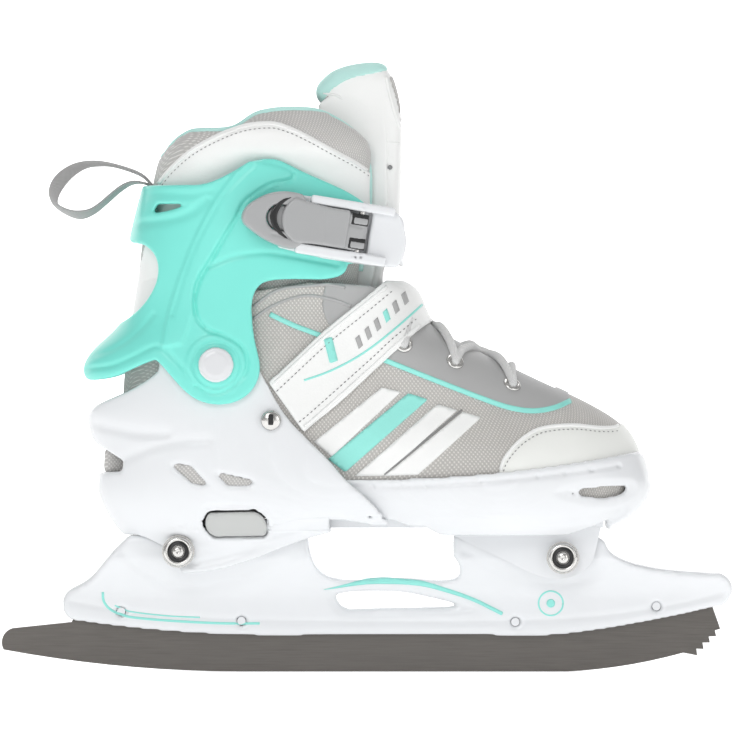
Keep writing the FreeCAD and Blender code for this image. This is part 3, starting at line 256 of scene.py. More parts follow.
def make_materials():
    white = (0.80, 0.815, 0.835)
    mint = (0.21, 0.80, 0.70)
    return {
        "white_plastic": moulded("white_plastic", white, 0.22),
        "pearl_plastic": moulded("pearl_plastic", (0.74, 0.75, 0.77), 0.2, 0.5),
        "mint_plastic": moulded("mint_plastic", mint, 0.33, 0.15),
        "grey_plastic": moulded("grey_plastic", (0.40, 0.405, 0.41), 0.38),
        "dark_grey_plastic": moulded("dark_grey_plastic", (0.23, 0.235, 0.24), 0.36),
        "pale_grey_plastic": moulded("pale_grey_plastic", (0.52, 0.53, 0.52), 0.4),
        "black_plastic": moulded("black_plastic", (0.012, 0.012, 0.013), 0.3),
        "runner_steel": steel("runner_steel", (0.16, 0.15, 0.14), 0.42),
        "bright_steel": plated("bright_steel", (0.72, 0.71, 0.69), 0.22),
        "white_leather": coated_leather("white_leather", (0.90, 0.905, 0.895), 0.42),
        "cap_leather": coated_leather("cap_leather", (0.86, 0.87, 0.84), 0.45),
        "dark_grey_leather": coated_leather("dark_grey_leather", (0.42, 0.42, 0.42), 0.5),
        "mint_trim": coated_leather("mint_trim", (0.30, 0.80, 0.72), 0.5),
        "pale_mint": coated_leather("pale_mint", (0.50, 0.80, 0.75), 0.5),
        "grey_fabric": knit_mesh("grey_fabric", (0.76, 0.74, 0.71), (0.20, 0.19, 0.18)),
        "pad_fabric": knit_mesh("pad_fabric", (0.76, 0.75, 0.73), (0.22, 0.21, 0.205), 0.0016),
        "grey_webbing": woven("grey_webbing", (0.55, 0.545, 0.54), (0.25, 0.25, 0.25)),
        "lace_white": woven("lace_white", (0.92, 0.92, 0.91), (0.62, 0.62, 0.62), 0.0009),
        "stitch_grey": woven("stitch_grey", (0.45, 0.45, 0.45), (0.2, 0.2, 0.2), 0.0006),
    }


# ---- side outlines -------------------------------------------------------------------------------------

def curve_through(points, closed=False, steps=7):
    """A smooth path through (x, z) points, as a dense array."""
    p = np.array(points, dtype=float)
    before = np.vstack([p[-1:] if closed else 2 * p[:1] - p[1:2], p[:-1]])
    after = np.vstack([p[1:], p[:1] if closed else 2 * p[-1:] - p[-2:-1]])
    beyond = np.vstack([after[1:], p[1:2] if closed else 2 * after[-1:] - p[-1:]])
    t = np.linspace(0, 1, steps, endpoint=False)[None, :, None]
    p0, p1, p2, p3 = (q[:, None, :] for q in (before, p, after, beyond))
    path = 0.5 * (2 * p1 + (p2 - p0) * t + (2 * p0 - 5 * p1 + 4 * p2 - p3) * t ** 2
                  + (3 * p1 - p0 - 3 * p2 + p3) * t ** 3)
    path = path.reshape(-1, p.shape[1])
    if closed:
        return path
    return np.vstack([path[:(len(p) - 1) * steps], p[-1:]])


def outline(*stretches):
    """A closed outline from stretches that follow each other: two points are straight, more are smooth."""
    parts = [np.array(s, float) if len(s) == 2 else curve_through(s) for s in stretches]
    return np.vstack([part[:-1] if len(part) > 1 else part for part in parts])


def path_distance(path, x, z, closed=False):
    path = np.asarray(path, float)
    starts, ends = (path, np.roll(path, -1, axis=0)) if closed else (path[:-1], path[1:])
    best = np.full(np.broadcast(x, z).shape, 1e9)
    for (ax, az), (bx, bz) in zip(starts, ends):
        dx, dz = bx - ax, bz - az
        length = dx * dx + dz * dz + 1e-9
        along = np.clip(((x - ax) * dx + (z - az) * dz) / length, 0, 1)
        best = np.minimum(best, (x - ax - along * dx) ** 2 + (z - az - along * dz) ** 2)
    return np.sqrt(best)


def outline_distance(path, x, z):
    """Signed distance to a closed outline, negative inside."""
    inside = np.zeros(np.broadcast(x, z).shape, bool)
    path = np.asarray(path, float)
    for (ax, az), (bx, bz) in zip(path, np.roll(path, -1, axis=0)):
        if az == bz:
            continue
        crosses = ((az > z) != (bz > z)) & (x < (bx - ax) * (z - az) / (bz - az) + ax)
        inside ^= crosses
    distance = path_distance(path, x, z, closed=True)
    return np.where(inside, -distance, distance)


# ---- distance fields -----------------------------------------------------------------------------------

def grid_of(points, triangles, quads, voxel, band):
    transform = vdb.createLinearTransform(voxelSize=voxel)
    return vdb.FloatGrid.createLevelSetFromPolygons(
        np.ascontiguousarray(points, np.float32), triangles=triangles, quads=quads, transform=transform,
        halfWidth=band)


def mesh_arrays(mesh):
    """A mesh's points in millimetres and its triangles."""
    mesh.calc_loop_triangles()
    points = np.empty(len(mesh.vertices) * 3, np.float32)
    mesh.vertices.foreach_get("co", points)
    corners = np.empty(len(mesh.loop_triangles) * 3, np.int32)
    mesh.loop_triangles.foreach_get("vertices", corners)
    return points.reshape(-1, 3) / MM, corners.reshape(-1, 3).astype(np.uint32)


class Field:
    """Signed distances in millimetres on a regular grid, negative inside the shape."""

    def __init__(self, grid, voxel, shift=0.0):
        low, high = grid.evalActiveVoxelBoundingBox()
        low = np.array(low) - 1
        self.low, self.voxel = tuple(int(v) for v in low), voxel
        self.values = np.empty(tuple(np.array(high) + 2 - low), np.float32)
        grid.copyToArray(self.values, ijk=self.low)
        self.values -= shift

    def copy(self):
        twin = Field.__new__(Field)
        twin.low, twin.voxel, twin.values = self.low, self.voxel, self.values.copy()
        return twin

    def axis(self, index):
        count = self.values.shape[index]
        shape = [1, 1, 1]
        shape[index] = count
        return ((np.arange(count) + self.low[index]) * self.voxel).astype(np.float32).reshape(shape)

    def side_grid(self):
        return self.axis(0)[:, 0, :], self.axis(2)[0, :, :].reshape(1, -1)

    def slope(self, index):
        return np.gradient(self.values, self.voxel, axis=index)

    def faces(self):
        """One where the surface faces away from the middle plane, falling to zero where it faces inward."""
        return np.clip(1.8 * self.slope(1) * np.sign(self.axis(1)), 0, 1)

    def relief(self, grooves, swells=()):
        """Raise side outlines (outline, height, border) and cut grooves (path, width, depth), on the outer
        face only. Grooves that cross keep the deeper cut, so that they don't add up."""
        x, z = self.side_grid()
        change = np.zeros(np.broadcast(x, z).shape)
        for path, height, soft in swells:
            change -= height * np.clip(0.5 - outline_distance(path, x, z) / soft, 0, 1)
        cut = np.zeros_like(change)
        for path, width, depth in grooves:
            cut = np.maximum(cut, depth * np.exp(-(path_distance(path, x, z) / width) ** 2))
        self.values += (self.faces() * (change + cut)[:, None, :]).astype(np.float32)

    def keep_inside(self, path):
        """Cut away what lies outside a closed side outline."""
        x, z = self.side_grid()
        self.values = np.maximum(self.values, outline_distance(path, x, z)[:, None, :].astype(np.float32))
        return self

    def half(self, side):
        """A copy that keeps only what lies on one side of the middle plane."""
        part = self.copy()
        part.values = np.maximum(part.values, -side * part.axis(1))
        return part

    def skin(self, lift, thickness, heart=None):
        """A layer on the shape, from lift above it to thickness below that. Heart is a height inside a
        hollow shape, and the layer then keeps to the faces that look away from it."""
        layer = self.copy()
        layer.values = np.maximum(self.values - lift, lift - thickness - self.values)
        if heart is not None:
            away = self.slope(1) * self.axis(1) + self.slope(2) * (self.axis(2) - heart)
            layer.values = np.where(away > 0, layer.values, np.maximum(layer.values, 0.6)).astype(np.float32)
        return layer

    def surface(self):
        grid = vdb.FloatGrid(float(abs(self.values).max()))
        grid.transform = vdb.createLinearTransform(voxelSize=self.voxel)
        grid.copyFromArray(np.ascontiguousarray(self.values), ijk=self.low)
        return grid.convertToPolygons(0.0, 0.0)


def rounded(points, triangles, voxel, radius, grow=0.0):
    """The field of a closed mesh whose outer edges are rounded to a radius."""
    grid = grid_of(points, triangles, None, voxel, max(3.0, radius / voxel + 2.5))
    if radius:
        core_points, core_triangles, core_quads = grid.convertToPolygons(-radius, 0.0)
        grid = grid_of(core_points, core_triangles, core_quads, voxel, (radius + grow) / voxel + 3.5)
    return Field(grid, voxel, radius + grow)


def smooth_grooves(*grooves):
    """Grooves (points, width, depth) whose paths are smooth curves through their points."""
    return [(curve_through(points), width, depth) for points, width, depth in grooves]


def node_field(node, voxel=0.8, radius=1.0, grow=0.0):
    points, triangles = mesh_arrays(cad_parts[node].data)
    return rounded(points, triangles, voxel, radius, grow)


# ---- pieces --------------------------------------------------------------------------------------------

MATERIALS = make_materials()

# Finishes whose material or record slot has another name than their own: (material, slot).
FINISHES = {
    "black_plastic": ("black_plastic", "dark_grey_plastic"),
    "cap_leather": ("cap_leather", "white_leather"),
    "pad_fabric": ("pad_fabric", "grey_fabric"),
    "stitch_grey": ("stitch_grey", "grey_fabric"),
    "mint_trim": ("mint_trim", "mint_fabric"),
    "pale_mint": ("pale_mint", "mint_fabric"),
    "mint_print": ("mint_trim", "mint_plastic"),
    "mint_dash": ("mint_trim", "dark_grey_leather"),
    "release_grey": ("grey_plastic", "dark_grey_plastic"),
}


def build_mesh(name, points, triangles, quads):
    points, triangles, quads = np.asarray(points), np.asarray(triangles), np.asarray(quads)
    mesh = bpy.data.meshes.new(name)
    corners = np.concatenate([triangles.reshape(-1), quads.reshape(-1)]).astype(np.int32)
    totals = np.concatenate([np.full(len(triangles), 3), np.full(len(quads), 4)])
    mesh.vertices.add(len(points))
    mesh.vertices.foreach_set("co", (points * MM).astype(np.float32).ravel())
    mesh.loops.add(len(corners))
    mesh.loops.foreach_set("vertex_index", corners)
    mesh.polygons.add(len(totals))
    mesh.polygons.foreach_set("loop_start", (np.cumsum(totals) - totals).astype(np.int32))
    mesh.polygons.foreach_set("use_smooth", np.ones(len(totals), bool))
    mesh.update(calc_edges=True)
    mesh.validate()
    return mesh


def outward(points, triangles, quads):
    """The same faces, turned so that the closed surface's normals point outward."""
    fans = [triangles[:, [0, 1, 2]]] if len(triangles) else []
    if len(quads):
        fans += [quads[:, [0, 1, 2]], quads[:, [0, 2, 3]]]
    a, b, c = (points[np.vstack(fans)[:, k]] for k in range(3))
    if np.einsum("ij,ij->i", a, np.cross(b, c)).sum() < 0:
        return triangles[:, ::-1], quads[:, ::-1]
    return triangles, quads


def add_piece(name, mesh, finish, body, replaced=()):
    """Put a mesh in the scene as a piece that rides on a body and may stand for CAD nodes."""
    material, slot = FINISHES.get(finish, (finish, finish))
    mesh.materials.append(MATERIALS[material])
    piece = bpy.data.objects.new(name, mesh)
    scene.collection.objects.link(piece)
    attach(piece, body)
    if replaced:
        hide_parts(*replaced)
    return piece


def field_mesh(name, field):
    points, triangles, quads = field.surface()
    triangles = triangles.astype(np.int32).reshape(-1, 3)
    quads = quads.astype(np.int32).reshape(-1, 4)
    return build_mesh(name, points, *outward(points, triangles, quads))


def field_piece(name, field, finish, body, replaced=()):
    return add_piece(name, field_mesh(name, field), finish, body, replaced)


def tree_of(*pieces):
    """One search tree over the meshes of some pieces, for projecting onto them."""
    vertices, polygons = [], []
    for piece in pieces:
        start = len(vertices)
        vertices += [v.co[:] for v in piece.data.vertices]
        polygons += [[start + i for i in p.vertices] for p in piece.data.polygons]
    return BVHTree.FromPolygons(vertices, polygons)


def on_surface(tree, x, z, side=OUTER, lift=0.0):
    """The place on the surface that is seen at (x, z) from one side, in metres, with its normal."""
    hit, normal, _, _ = tree.ray_cast(Vector((x * MM, side * 0.2, z * MM)), Vector((0, -side, 0)))
    if hit is None:
        return None
    if normal.y * side < 0:
        normal = -normal
    return hit + normal * lift * MM, normal


def evenly(path, step):
    """Points along a path at an even spacing."""
    path = np.asarray(path, float)
    lengths = np.concatenate([[0], np.cumsum(np.linalg.norm(np.diff(path, axis=0), axis=1))])
    count = max(2, int(round(lengths[-1] / step)) + 1)
    spots = np.linspace(0, lengths[-1], count)
    return np.stack([np.interp(spots, lengths, path[:, k]) for k in range(path.shape[1])], axis=1)


def ribbon(name, path, width, lift, tree, finish, body, side=OUTER, crown=0.0, step=1.2):
    """A strip that follows a side path on a surface: flat for tape and print, crowned for piping."""
    path = evenly(path, step)
    tangent = np.gradient(path, axis=0)
    tangent /= np.linalg.norm(tangent, axis=1)[:, None] + 1e-9
    across = np.stack([-tangent[:, 1], tangent[:, 0]], axis=1)
    profile = [(-0.5, -0.7), (-0.5, 0.55), (-0.3, 0.9), (0.0, 1.0), (0.3, 0.9), (0.5, 0.55), (0.5, -0.7)]
    rows = []
    for (x, z), (nx, nz) in zip(path, across):
        row = []
        for part, height in profile:
            raised = lift * height + crown * (1 - 4 * part * part) * 0.5
            spot = on_surface(tree, x + nx * part * width, z + nz * part * width, side, raised)
            if spot is None:
                break
            row.append(spot[0] / MM)
        if len(row) == len(profile):
            rows.append(row)
    return add_piece(name, strip_mesh(name, rows), finish, body)


def ring_faces(rings, count, closed=False, start=0):
    """Four-sided faces between neighbouring rings of count points; closed joins the last to the first."""
    quads = []
    for i in range(rings if closed else rings - 1):
        near, far = start + i * count, start + (i + 1) % rings * count
        quads += [(near + j, near + (j + 1) % count, far + (j + 1) % count, far + j) for j in range(count)]
    return quads


def strip_mesh(name, rows):
    """A closed tube through rows of points, capped at both ends."""
    count = len(rows[0])
    points = np.array([p[:] for row in rows for p in row])
    last = (len(rows) - 1) * count
    triangles = [(0, j + 1, j) for j in range(1, count - 1)]
    triangles += [(last, last + j, last + j + 1) for j in range(1, count - 1)]
    quads = np.array(ring_faces(len(rows), count))
    return build_mesh(name, points, *outward(points, np.array(triangles), quads))


def tube(name, spots, radius, finish, body, replaced=()):
    """A round cord through 3-D points in millimetres."""
    spine = np.asarray(spots, float)
    rows = []
    normal = np.array([0.0, 1.0, 0.0])
    tangents = np.gradient(spine, axis=0)
    for spot, tangent in zip(spine, tangents):
        tangent = tangent / (np.linalg.norm(tangent) + 1e-9)
        normal = normal - tangent * normal.dot(tangent)
        normal /= np.linalg.norm(normal) + 1e-9
        second = np.cross(tangent, normal)
        ring = [spot + radius * (math.cos(a) * normal + math.sin(a) * second)
                for a in np.linspace(0, 2 * math.pi, 12, endpoint=False)]
        rows.append([Vector(p) for p in ring])
    return add_piece(name, strip_mesh(name, rows), finish, body, replaced)


def beads(name, path, spacing, size, tree, finish, body, side=OUTER, lift=0.1):
    """Stitches: short raised thread beads along a side path."""
    verts, triangles = [], []
    length, width, height = size
    spots = evenly(path, spacing)
    heading = np.gradient(spots, axis=0)
    for (x, z), (dx, dz) in zip(spots, heading):
        spot = on_surface(tree, x, z, side, lift)
        ahead = on_surface(tree, x + dx * 0.05, z + dz * 0.05, side, lift)
        if spot is None or ahead is None:
            continue
        place, normal = spot
        along = (ahead[0] - place).normalized()
        across = normal.cross(along).normalized()
        start = len(verts)
        for a, b, c in ((-1, 0, 0), (0, -1, 0), (1, 0, 0), (0, 1, 0), (0, 0, 1), (0, 0, -1)):
            verts.append((place / MM + along * a * length + across * b * width + normal * c * height)[:])
        triangles += [(start + i, start + (i + 1) % 4, start + 4) for i in range(4)]
        triangles += [(start + (i + 1) % 4, start + i, start + 5) for i in range(4)]
    mesh = build_mesh(name, np.array(verts), np.array(triangles), np.zeros((0, 4), int))
    return add_piece(name, mesh, finish, body)


def clothed(mesh, cap, pressure=4.0, remesh=0.0045, frames=20):
    """The mesh inflated as cloth; cap(points) is how far each point may move, in metres."""
    pad = bpy.data.objects.new("cloth_work", mesh)
    scene.collection.objects.link(pad)
    modifier = pad.modifiers.new("remesh", "REMESH")
    modifier.mode, modifier.voxel_size = "VOXEL", remesh
    pad.data = evaluated_mesh(pad)
    pad.modifiers.clear()
    start = np.array([v.co[:] for v in pad.data.vertices])
    cloth = pad.modifiers.new("cloth", "CLOTH")
    cloth.settings.use_pressure = True
    cloth.settings.uniform_pressure_force = pressure
    cloth.settings.effector_weights.gravity = 0
    cloth.settings.quality = 5
    cloth.point_cache.frame_start, cloth.point_cache.frame_end = 1, frames
    for number in range(1, frames + 1):
        scene.frame_set(number)
    swollen = evaluated_mesh(pad)
    pad.modifiers.clear()
    end = np.array([v.co[:] for v in swollen.vertices])
    move = end - start
    length = np.linalg.norm(move, axis=1)[:, None] + 1e-9
    end = start + move * np.minimum(1.0, cap(start)[:, None] / length)
    swollen.vertices.foreach_set("co", end.astype(np.float32).ravel())
    scene.frame_set(1)
    pad.data = swollen
    smooth = pad.modifiers.new("smooth", "SUBSURF")
    smooth.levels = smooth.render_levels = 1
    result = evaluated_mesh(pad)
    bpy.data.objects.remove(pad)
    return result


def evaluated_mesh(piece):
    graph = bpy.context.evaluated_depsgraph_get()
    graph.update()
    return bpy.data.meshes.new_from_object(piece.evaluated_get(graph))


def filled(path, spacing):
    """Points and triangles that fill a closed side outline; the border points come first."""
    border = evenly(np.vstack([path, path[:1]]), spacing)[:-1]
    low, high = border.min(axis=0), border.max(axis=0)
    columns, rows = (np.arange(low[k], high[k], spacing) for k in (0, 1))
    grid = np.array([(x, z) for x in columns for z in rows])
    inner = grid[outline_distance(border, grid[:, 0], grid[:, 1]) < -0.45 * spacing]
    flat = [Vector(p) for p in np.vstack([border, inner])]
    flat, _, faces, _, _, _ = delaunay_2d_cdt(flat, [], [list(range(len(border)))], 1, 1e-5)
    return flat, faces


def two_layers(top, under, faces):
    """Points, triangles and four-sided walls of a closed sheet between two matching layers of points."""
    count = len(top)
    triangles = np.array(faces)
    edges = {(a, b) for tri in triangles.tolist() for a, b in zip(tri, tri[1:] + tri[:1])}
    rim = [edge for edge in sorted(edges) if (edge[1], edge[0]) not in edges]
    walls = np.array([(b, a, a + count, b + count) for a, b in rim])
    return np.vstack([top, under]), np.vstack([triangles, triangles[:, ::-1] + count]), walls


def slab(name, top, under, faces, finish, body):
    """A closed sheet from two matching layers of points, in millimetres."""
    points, triangles, walls = two_layers(top, under, faces)
    return add_piece(name, build_mesh(name, points, *outward(points, triangles, walls)), finish, body)


def rounded_slab(name, top, under, faces, voxel, radius, finish, body):
    """The same closed sheet with its outer edges rounded."""
    points, triangles, walls = two_layers(top, under, faces)
    halves = [tri for a, b, c, d in walls for tri in ((a, b, c), (a, c, d))]
    triangles, _ = outward(points, np.vstack([triangles, halves]), np.zeros((0, 4), int))
    return field_piece(name, rounded(points, triangles.astype(np.uint32), voxel, radius), finish, body)


def patch(name, path, tree, lift, finish, body, side=OUTER, spacing=1.6, sink=0.5):
    """A thin closed sheet with this side outline, laid on a surface."""
    flat, faces = filled(path, spacing)
    spots = [on_surface(tree, p[0], p[1], side) for p in flat]
    kept = [i for i, spot in enumerate(spots) if spot is not None]
    index = {old: new for new, old in enumerate(kept)}
    top = np.array([(spots[i][0] + spots[i][1] * lift * MM)[:] for i in kept]) / MM
    under = np.array([(spots[i][0] - spots[i][1] * sink * MM)[:] for i in kept]) / MM
    faces = [[index[i] for i in face] for face in faces if all(i in index for i in face)]
    return slab(name, top, under, faces, finish, body)


def window_panel(name, path, tree, depth, finish, body, side):
    """A panel inside a window of a wall, at a depth below the wall's face round the window."""
    middle = path.mean(axis=0)
    ring = []
    for spot in evenly(np.vstack([path, path[:1]]), 2.0):
        away = spot - middle
        ring.append(on_surface(tree, *(middle + away * 1.3 + away / np.linalg.norm(away) * 1.5), side))
    ring = np.array([spot[0][:] for spot in ring if spot is not None]) / MM
    flat, faces = filled(path, 1.2)
    top = []
    for x, z in flat:
        weight = 1 / ((ring[:, 0] - x) ** 2 + (ring[:, 2] - z) ** 2 + 1)
        top.append((x, (ring[:, 1] * weight).sum() / weight.sum() - side * depth, z))
    top = np.array(top)
    return slab(name, top, top - (0, side * 0.7, 0), faces, finish, body)


def plate(name, path, near, far, radius, finish, body, voxel=0.5):
    """A rounded plate with a side outline, between two places along Y."""
    flat, faces = filled(path, 2.5)
    top = np.array([(p[0], near, p[1]) for p in flat])
    return rounded_slab(name, top, top + (0, far - near, 0), faces, voxel, radius, finish, body)


# ---- moulded pieces ------------------------------------------------------------------------------------

PIVOT = (-71.8, 147.9)
EMBLEM = (89.1, 33)


def ring_path(place, radius, start=0.0, end=360.0):
    angles = np.radians(np.linspace(start, end, 40))
    return np.stack([place[0] + radius * np.cos(angles), place[1] + radius * np.sin(angles)], axis=1)


def make_cuff():
    field = node_field("cuff", 0.7, 0.7)
    band = outline([(-56, 246), (-64, 238), (-75, 222), (-86, 199), (-95, 172), (-98, 156)],
                   [(-98, 156), (-88, 158)],
                   [(-88, 158), (-83, 172), (-81.5, 188), (-70, 206), (-60.5, 221), (-51, 230), (-40, 235),
                    (-35, 238.4), (-40, 242), (-56, 246)])
    boss = [(-34.7, 239.1), (-36.2, 236.6), (-45.4, 234.4), (-53, 229.9), (-58.4, 225.4), (-62.2, 218.5),
            (-68.4, 208.5), (-75.2, 196.3), (-79.8, 188.6), (-82.1, 180.2), (-81.7, 174.1), (-79.8, 168.7),
            (-75.2, 164.5), (-68.4, 161.9), (-62.2, 158.8), (-58.4, 155), (-56.8, 149.6), (-58.4, 143.5),
            (-63, 138.1), (-69.1, 134.7), (-75.2, 134.7), (-81.4, 138.1)]
    grooves = smooth_grooves(
        (boss, 1.0, 1.35),
        ([(-54, 243.6), (-62, 236), (-71, 225), (-84, 200), (-93, 172)], 1.3, 0.6),
        ([(-75.2, 195.1), (-64.5, 199.3), (-53, 201.3), (-41.6, 200.9), (-13.9, 195.8)], 1.2, 0.9),
        ([(-134, 146), (-122, 147.6), (-112, 151.6), (-102, 156.4), (-97, 156)], 1.3, 0.9),
        ([(-130, 152.6), (-120, 156), (-110, 163), (-102, 172)], 1.4, 0.5),
        ([(-97, 156), (-88, 147), (-82, 139)], 1.2, 0.8),
        ([(-112, 216), (-100, 216.6), (-86, 220), (-76, 227)], 2.4, 0.9),
        ([(-108, 229.6), (-96, 229.8), (-84, 229.4), (-74, 231)], 2.2, 0.5),
    )
    pivot_groove = (ring_path(PIVOT, 10.9), 0.9, 0.9)
    field.relief([*grooves, pivot_groove], [(band, 1.3, 1.8), (ring_path(PIVOT, 14.6), 0.7, 1.4)])
    return field_piece("cuff_shell", field, "mint_plastic", "ankle_cuff", ["cuff"])


def make_heel_shell():
    field = node_field("heel_shell", 0.9, 1.0)
    button_rim = [(-78, 66.6), (-79.4, 72), (-77, 79.4), (-62, 80.4), (-50, 79.4), (-44.6, 70.6), (-46, 63.6)]
    field.relief(smooth_grooves(
        ([(-134, 120), (-122, 117.6), (-110, 115.4), (-96, 114.6)], 2.8, 0.8),
        ([(-116, 103), (-104, 108), (-92, 111), (-76, 112)], 2.4, 0.5),
        ([(-112, 67), (-98, 55), (-84, 52.4), (-68, 55.4), (-48, 62), (-28, 68)], 1.8, 0.9),
        (button_rim, 1.1, 0.6),
        ([(-44, 137), (-34, 122), (-20, 107.6), (-4, 92), (6, 82)], 1.6, 0.8),
    ))
    return field_piece("heel_shell_skin", field, "white_plastic", "chassis", ["heel_shell"])


def heel_windows(shell):
    """Grey mesh that closes the two slanted windows of the heel shell."""
    tree = tree_of(shell)
    rear = np.array([(-94.0, 100.6), (-84.5, 100.2), (-75.4, 90.2), (-83.2, 90.8)])
    front = np.array([(-72.8, 96.9), (-53.4, 92.4), (-56.0, 89.8), (-66.4, 90.0)])
    for side, word in SIDES:
        for number, path in enumerate((rear, front)):
            window_panel(f"window_mesh_{word}_{number}", path, tree, 1.1, "pad_fabric", "chassis", side)


def heel_pad():
    """The grey mesh heel that shows in the notch at the back of the shell."""
    notch = outline([(-125.6, 108.5), (-119, 108), (-112, 103), (-112, 98), (-118, 95.4), (-126.4, 95.6)],
                    [(-126.4, 95.6), (-125.6, 108.5)])
    plate("heel_pad", notch, -15.0, 15.0, 2.6, "pad_fabric", "chassis", 0.8)


def sole_skirt(shell, holder):
    """A moulded web that joins the heel shell's lower edge to the holder."""
    upper_tree, lower_tree = tree_of(shell), tree_of(holder, shell)
    for side, word in SIDES:
        rows = []
        for x in np.arange(-47.5, -15.9, 1.5):
            part = (x + 47.5) / 32
            top = on_surface(upper_tree, x, 74.6 + 0.4 * part, side)
            low = on_surface(lower_tree, x, 66.6 + 2.4 * part, side)
            if top is None or low is None:
                continue
            top, low = np.array(top[0]) / MM, np.array(low[0]) / MM
            swell = 0.9 * math.sin(math.pi * min(1, max(0, part)))
            outer = [top + (low - top) * t + (0, side * (swell * math.sin(math.pi * t) - 0.3), 0)
                     for t in np.linspace(0, 1, 9)]
            rows.append([Vector(p) for p in outer] + [Vector(p - (0, side * 1.4, 0)) for p in outer[::-1]])
        add_piece(f"sole_skirt_{word}", strip_mesh(f"sole_skirt_{word}", rows), "white_plastic", "chassis")


def make_front_shell():
    field = node_field("front_shell", 0.9, 1.0)
    rim = curve_through([(-10, 89.2), (13.4, 89.7), (40, 91.0), (65, 92.8), (90, 95.4), (113, 98.2),
                        (121, 99.4)])
    dots = [([(x - 0.5, z), (x + 0.5, z + 0.05)], 0.9, 1.5) for x, z in evenly(rim, 12.7)]
    vent = curve_through([(91, 86.5), (103, 91), (114, 92.2), (127.5, 91.6), (128.5, 86), (119, 81.6),
                          (106, 81.8)], closed=True)
    crease = curve_through([(26, 70), (46, 71.4), (78, 72), (104, 73.6), (122, 77)])
    field.relief([(rim, 1.1, 0.6), (crease, 2.2, 0.6), *dots], [(vent, -0.8, 2.6)])
    return field_piece("front_shell_skin", field, "white_plastic", "toe", ["front_shell"])


def make_holder():
    field = node_field("blade_holder", 0.8, 1.8)
    slot = curve_through([(-18, 38.4), (-13, 28.0), (4, 27.0), (44, 28.8), (51, 31.6), (34, 38.6), (14, 41.6),
                          (-8, 41.6)], closed=True)
    field.relief(smooth_grooves(
        ([(-142, 34), (-110, 28.6), (-70, 25.6), (-20, 24.4), (60, 24.4), (110, 26.6),
          (150, 32.6), (172, 38)], 1.2, 0.4),
        ([(-118, 58), (-104, 47), (-88, 40.6), (-62, 44), (-34, 56)], 2.6, 0.7),
        ([(48, 58), (66, 48), (86, 42), (104, 44), (122, 52)], 2.6, 0.7),
    ), [(slot, -0.5, 2.0)])
    return field_piece("holder_body", field, "white_plastic", "chassis", ["blade_holder"])


def holder_prints(holder):
    """Thin mint inlays: an arch over the slot, a double line at the heel, and a ring with a dot."""
    tree = tree_of(holder)
    arch = outline([(-20.4, 40.1), (1.9, 45.1), (24.3, 44.6), (38.9, 40.8), (52.3, 36.0), (66.2, 29.2)],
                   [(66.2, 29.2), (65.4, 27.6)],
                   [(65.4, 27.6), (52.3, 34.1), (38.9, 38.8), (24.3, 42.2), (1.9, 42.8), (-20.4, 40.1)])
    double = [curve_through([(-126.8, 38.4), (-126.4, 34.2), (-123.4, 30.2), (-117.5, 27.4), (-110.5, 26),
                             (-94.2, 24.6), (-71, 23.4), (-51.2, 23.3)]),
              curve_through([(-121, 32), (-116, 29.6), (-108, 28.2), (-94, 26.8), (-80, 26.2)])]
    ring, dot = ring_path(EMBLEM, 5.9), ring_path(EMBLEM, 2.1)[:-1]
    for side, word in SIDES:
        patch(f"holder_arch_{word}", arch - (0, 0.5), tree, 0.4, "mint_print", "chassis", side, 0.9)
        for number, line in enumerate(double):
            ribbon(f"holder_line_{word}_{number}", line, 1.2 - 0.5 * number, 0.14, tree,
                   "mint_print", "chassis", side)
        ribbon(f"holder_ring_{word}", ring, 0.8, 0.14, tree, "mint_print", "chassis", side, step=0.9)
        patch(f"holder_dot_{word}", dot, tree, 0.14, "mint_print", "chassis", side, 0.9)


def turned_ring(name, place, y, profile, finish, body, steps=48):
    """A ring around a Y axis; the profile is a list of (radius, depth outward) points."""
    points = []
    for angle in np.linspace(0, 2 * math.pi, steps + 1)[:-1]:
        points += [Vector((place[0] + r * math.cos(angle), y - depth, place[1] + r * math.sin(angle)))[:]
                   for r, depth in profile]
    points = np.array(points)
    quads = np.array(ring_faces(steps, len(profile), closed=True))
    mesh = build_mesh(name, points, *outward(points, np.zeros((0, 3), int), quads))
    return add_piece(name, mesh, finish, body)


def make_bolt_rings():
    """A black ring, a plated collar and a domed centre round each mounting bolt, on the outer side."""
    black = [(3.1, 0.1), (3.3, 0.7), (4.7, 0.7), (5.0, 0.1), (4.8, -0.6), (3.2, -0.6)]
    collar = [(5.0, 0.2), (5.2, 0.9), (5.8, 1.15), (6.5, 0.9), (7.1, 0.1), (7.0, -0.6), (5.1, -0.6)]
    centre = [(0.05, 1.5), (1.6, 1.35), (2.7, 0.8), (3.0, 0.1), (2.9, -0.6), (0.05, -0.6)]
    for word, place, face in (("rear", (-90.2, 58.2), -26.1), ("front", (94.7, 55.2), -24.1)):
        turned_ring(f"bolt_ring_{word}", place, face, black, "black_plastic", "chassis")
        turned_ring(f"bolt_collar_{word}", place, face, collar, "bright_steel", "chassis")
        turned_ring(f"bolt_centre_{word}", place, face, centre, "bright_steel", "chassis")


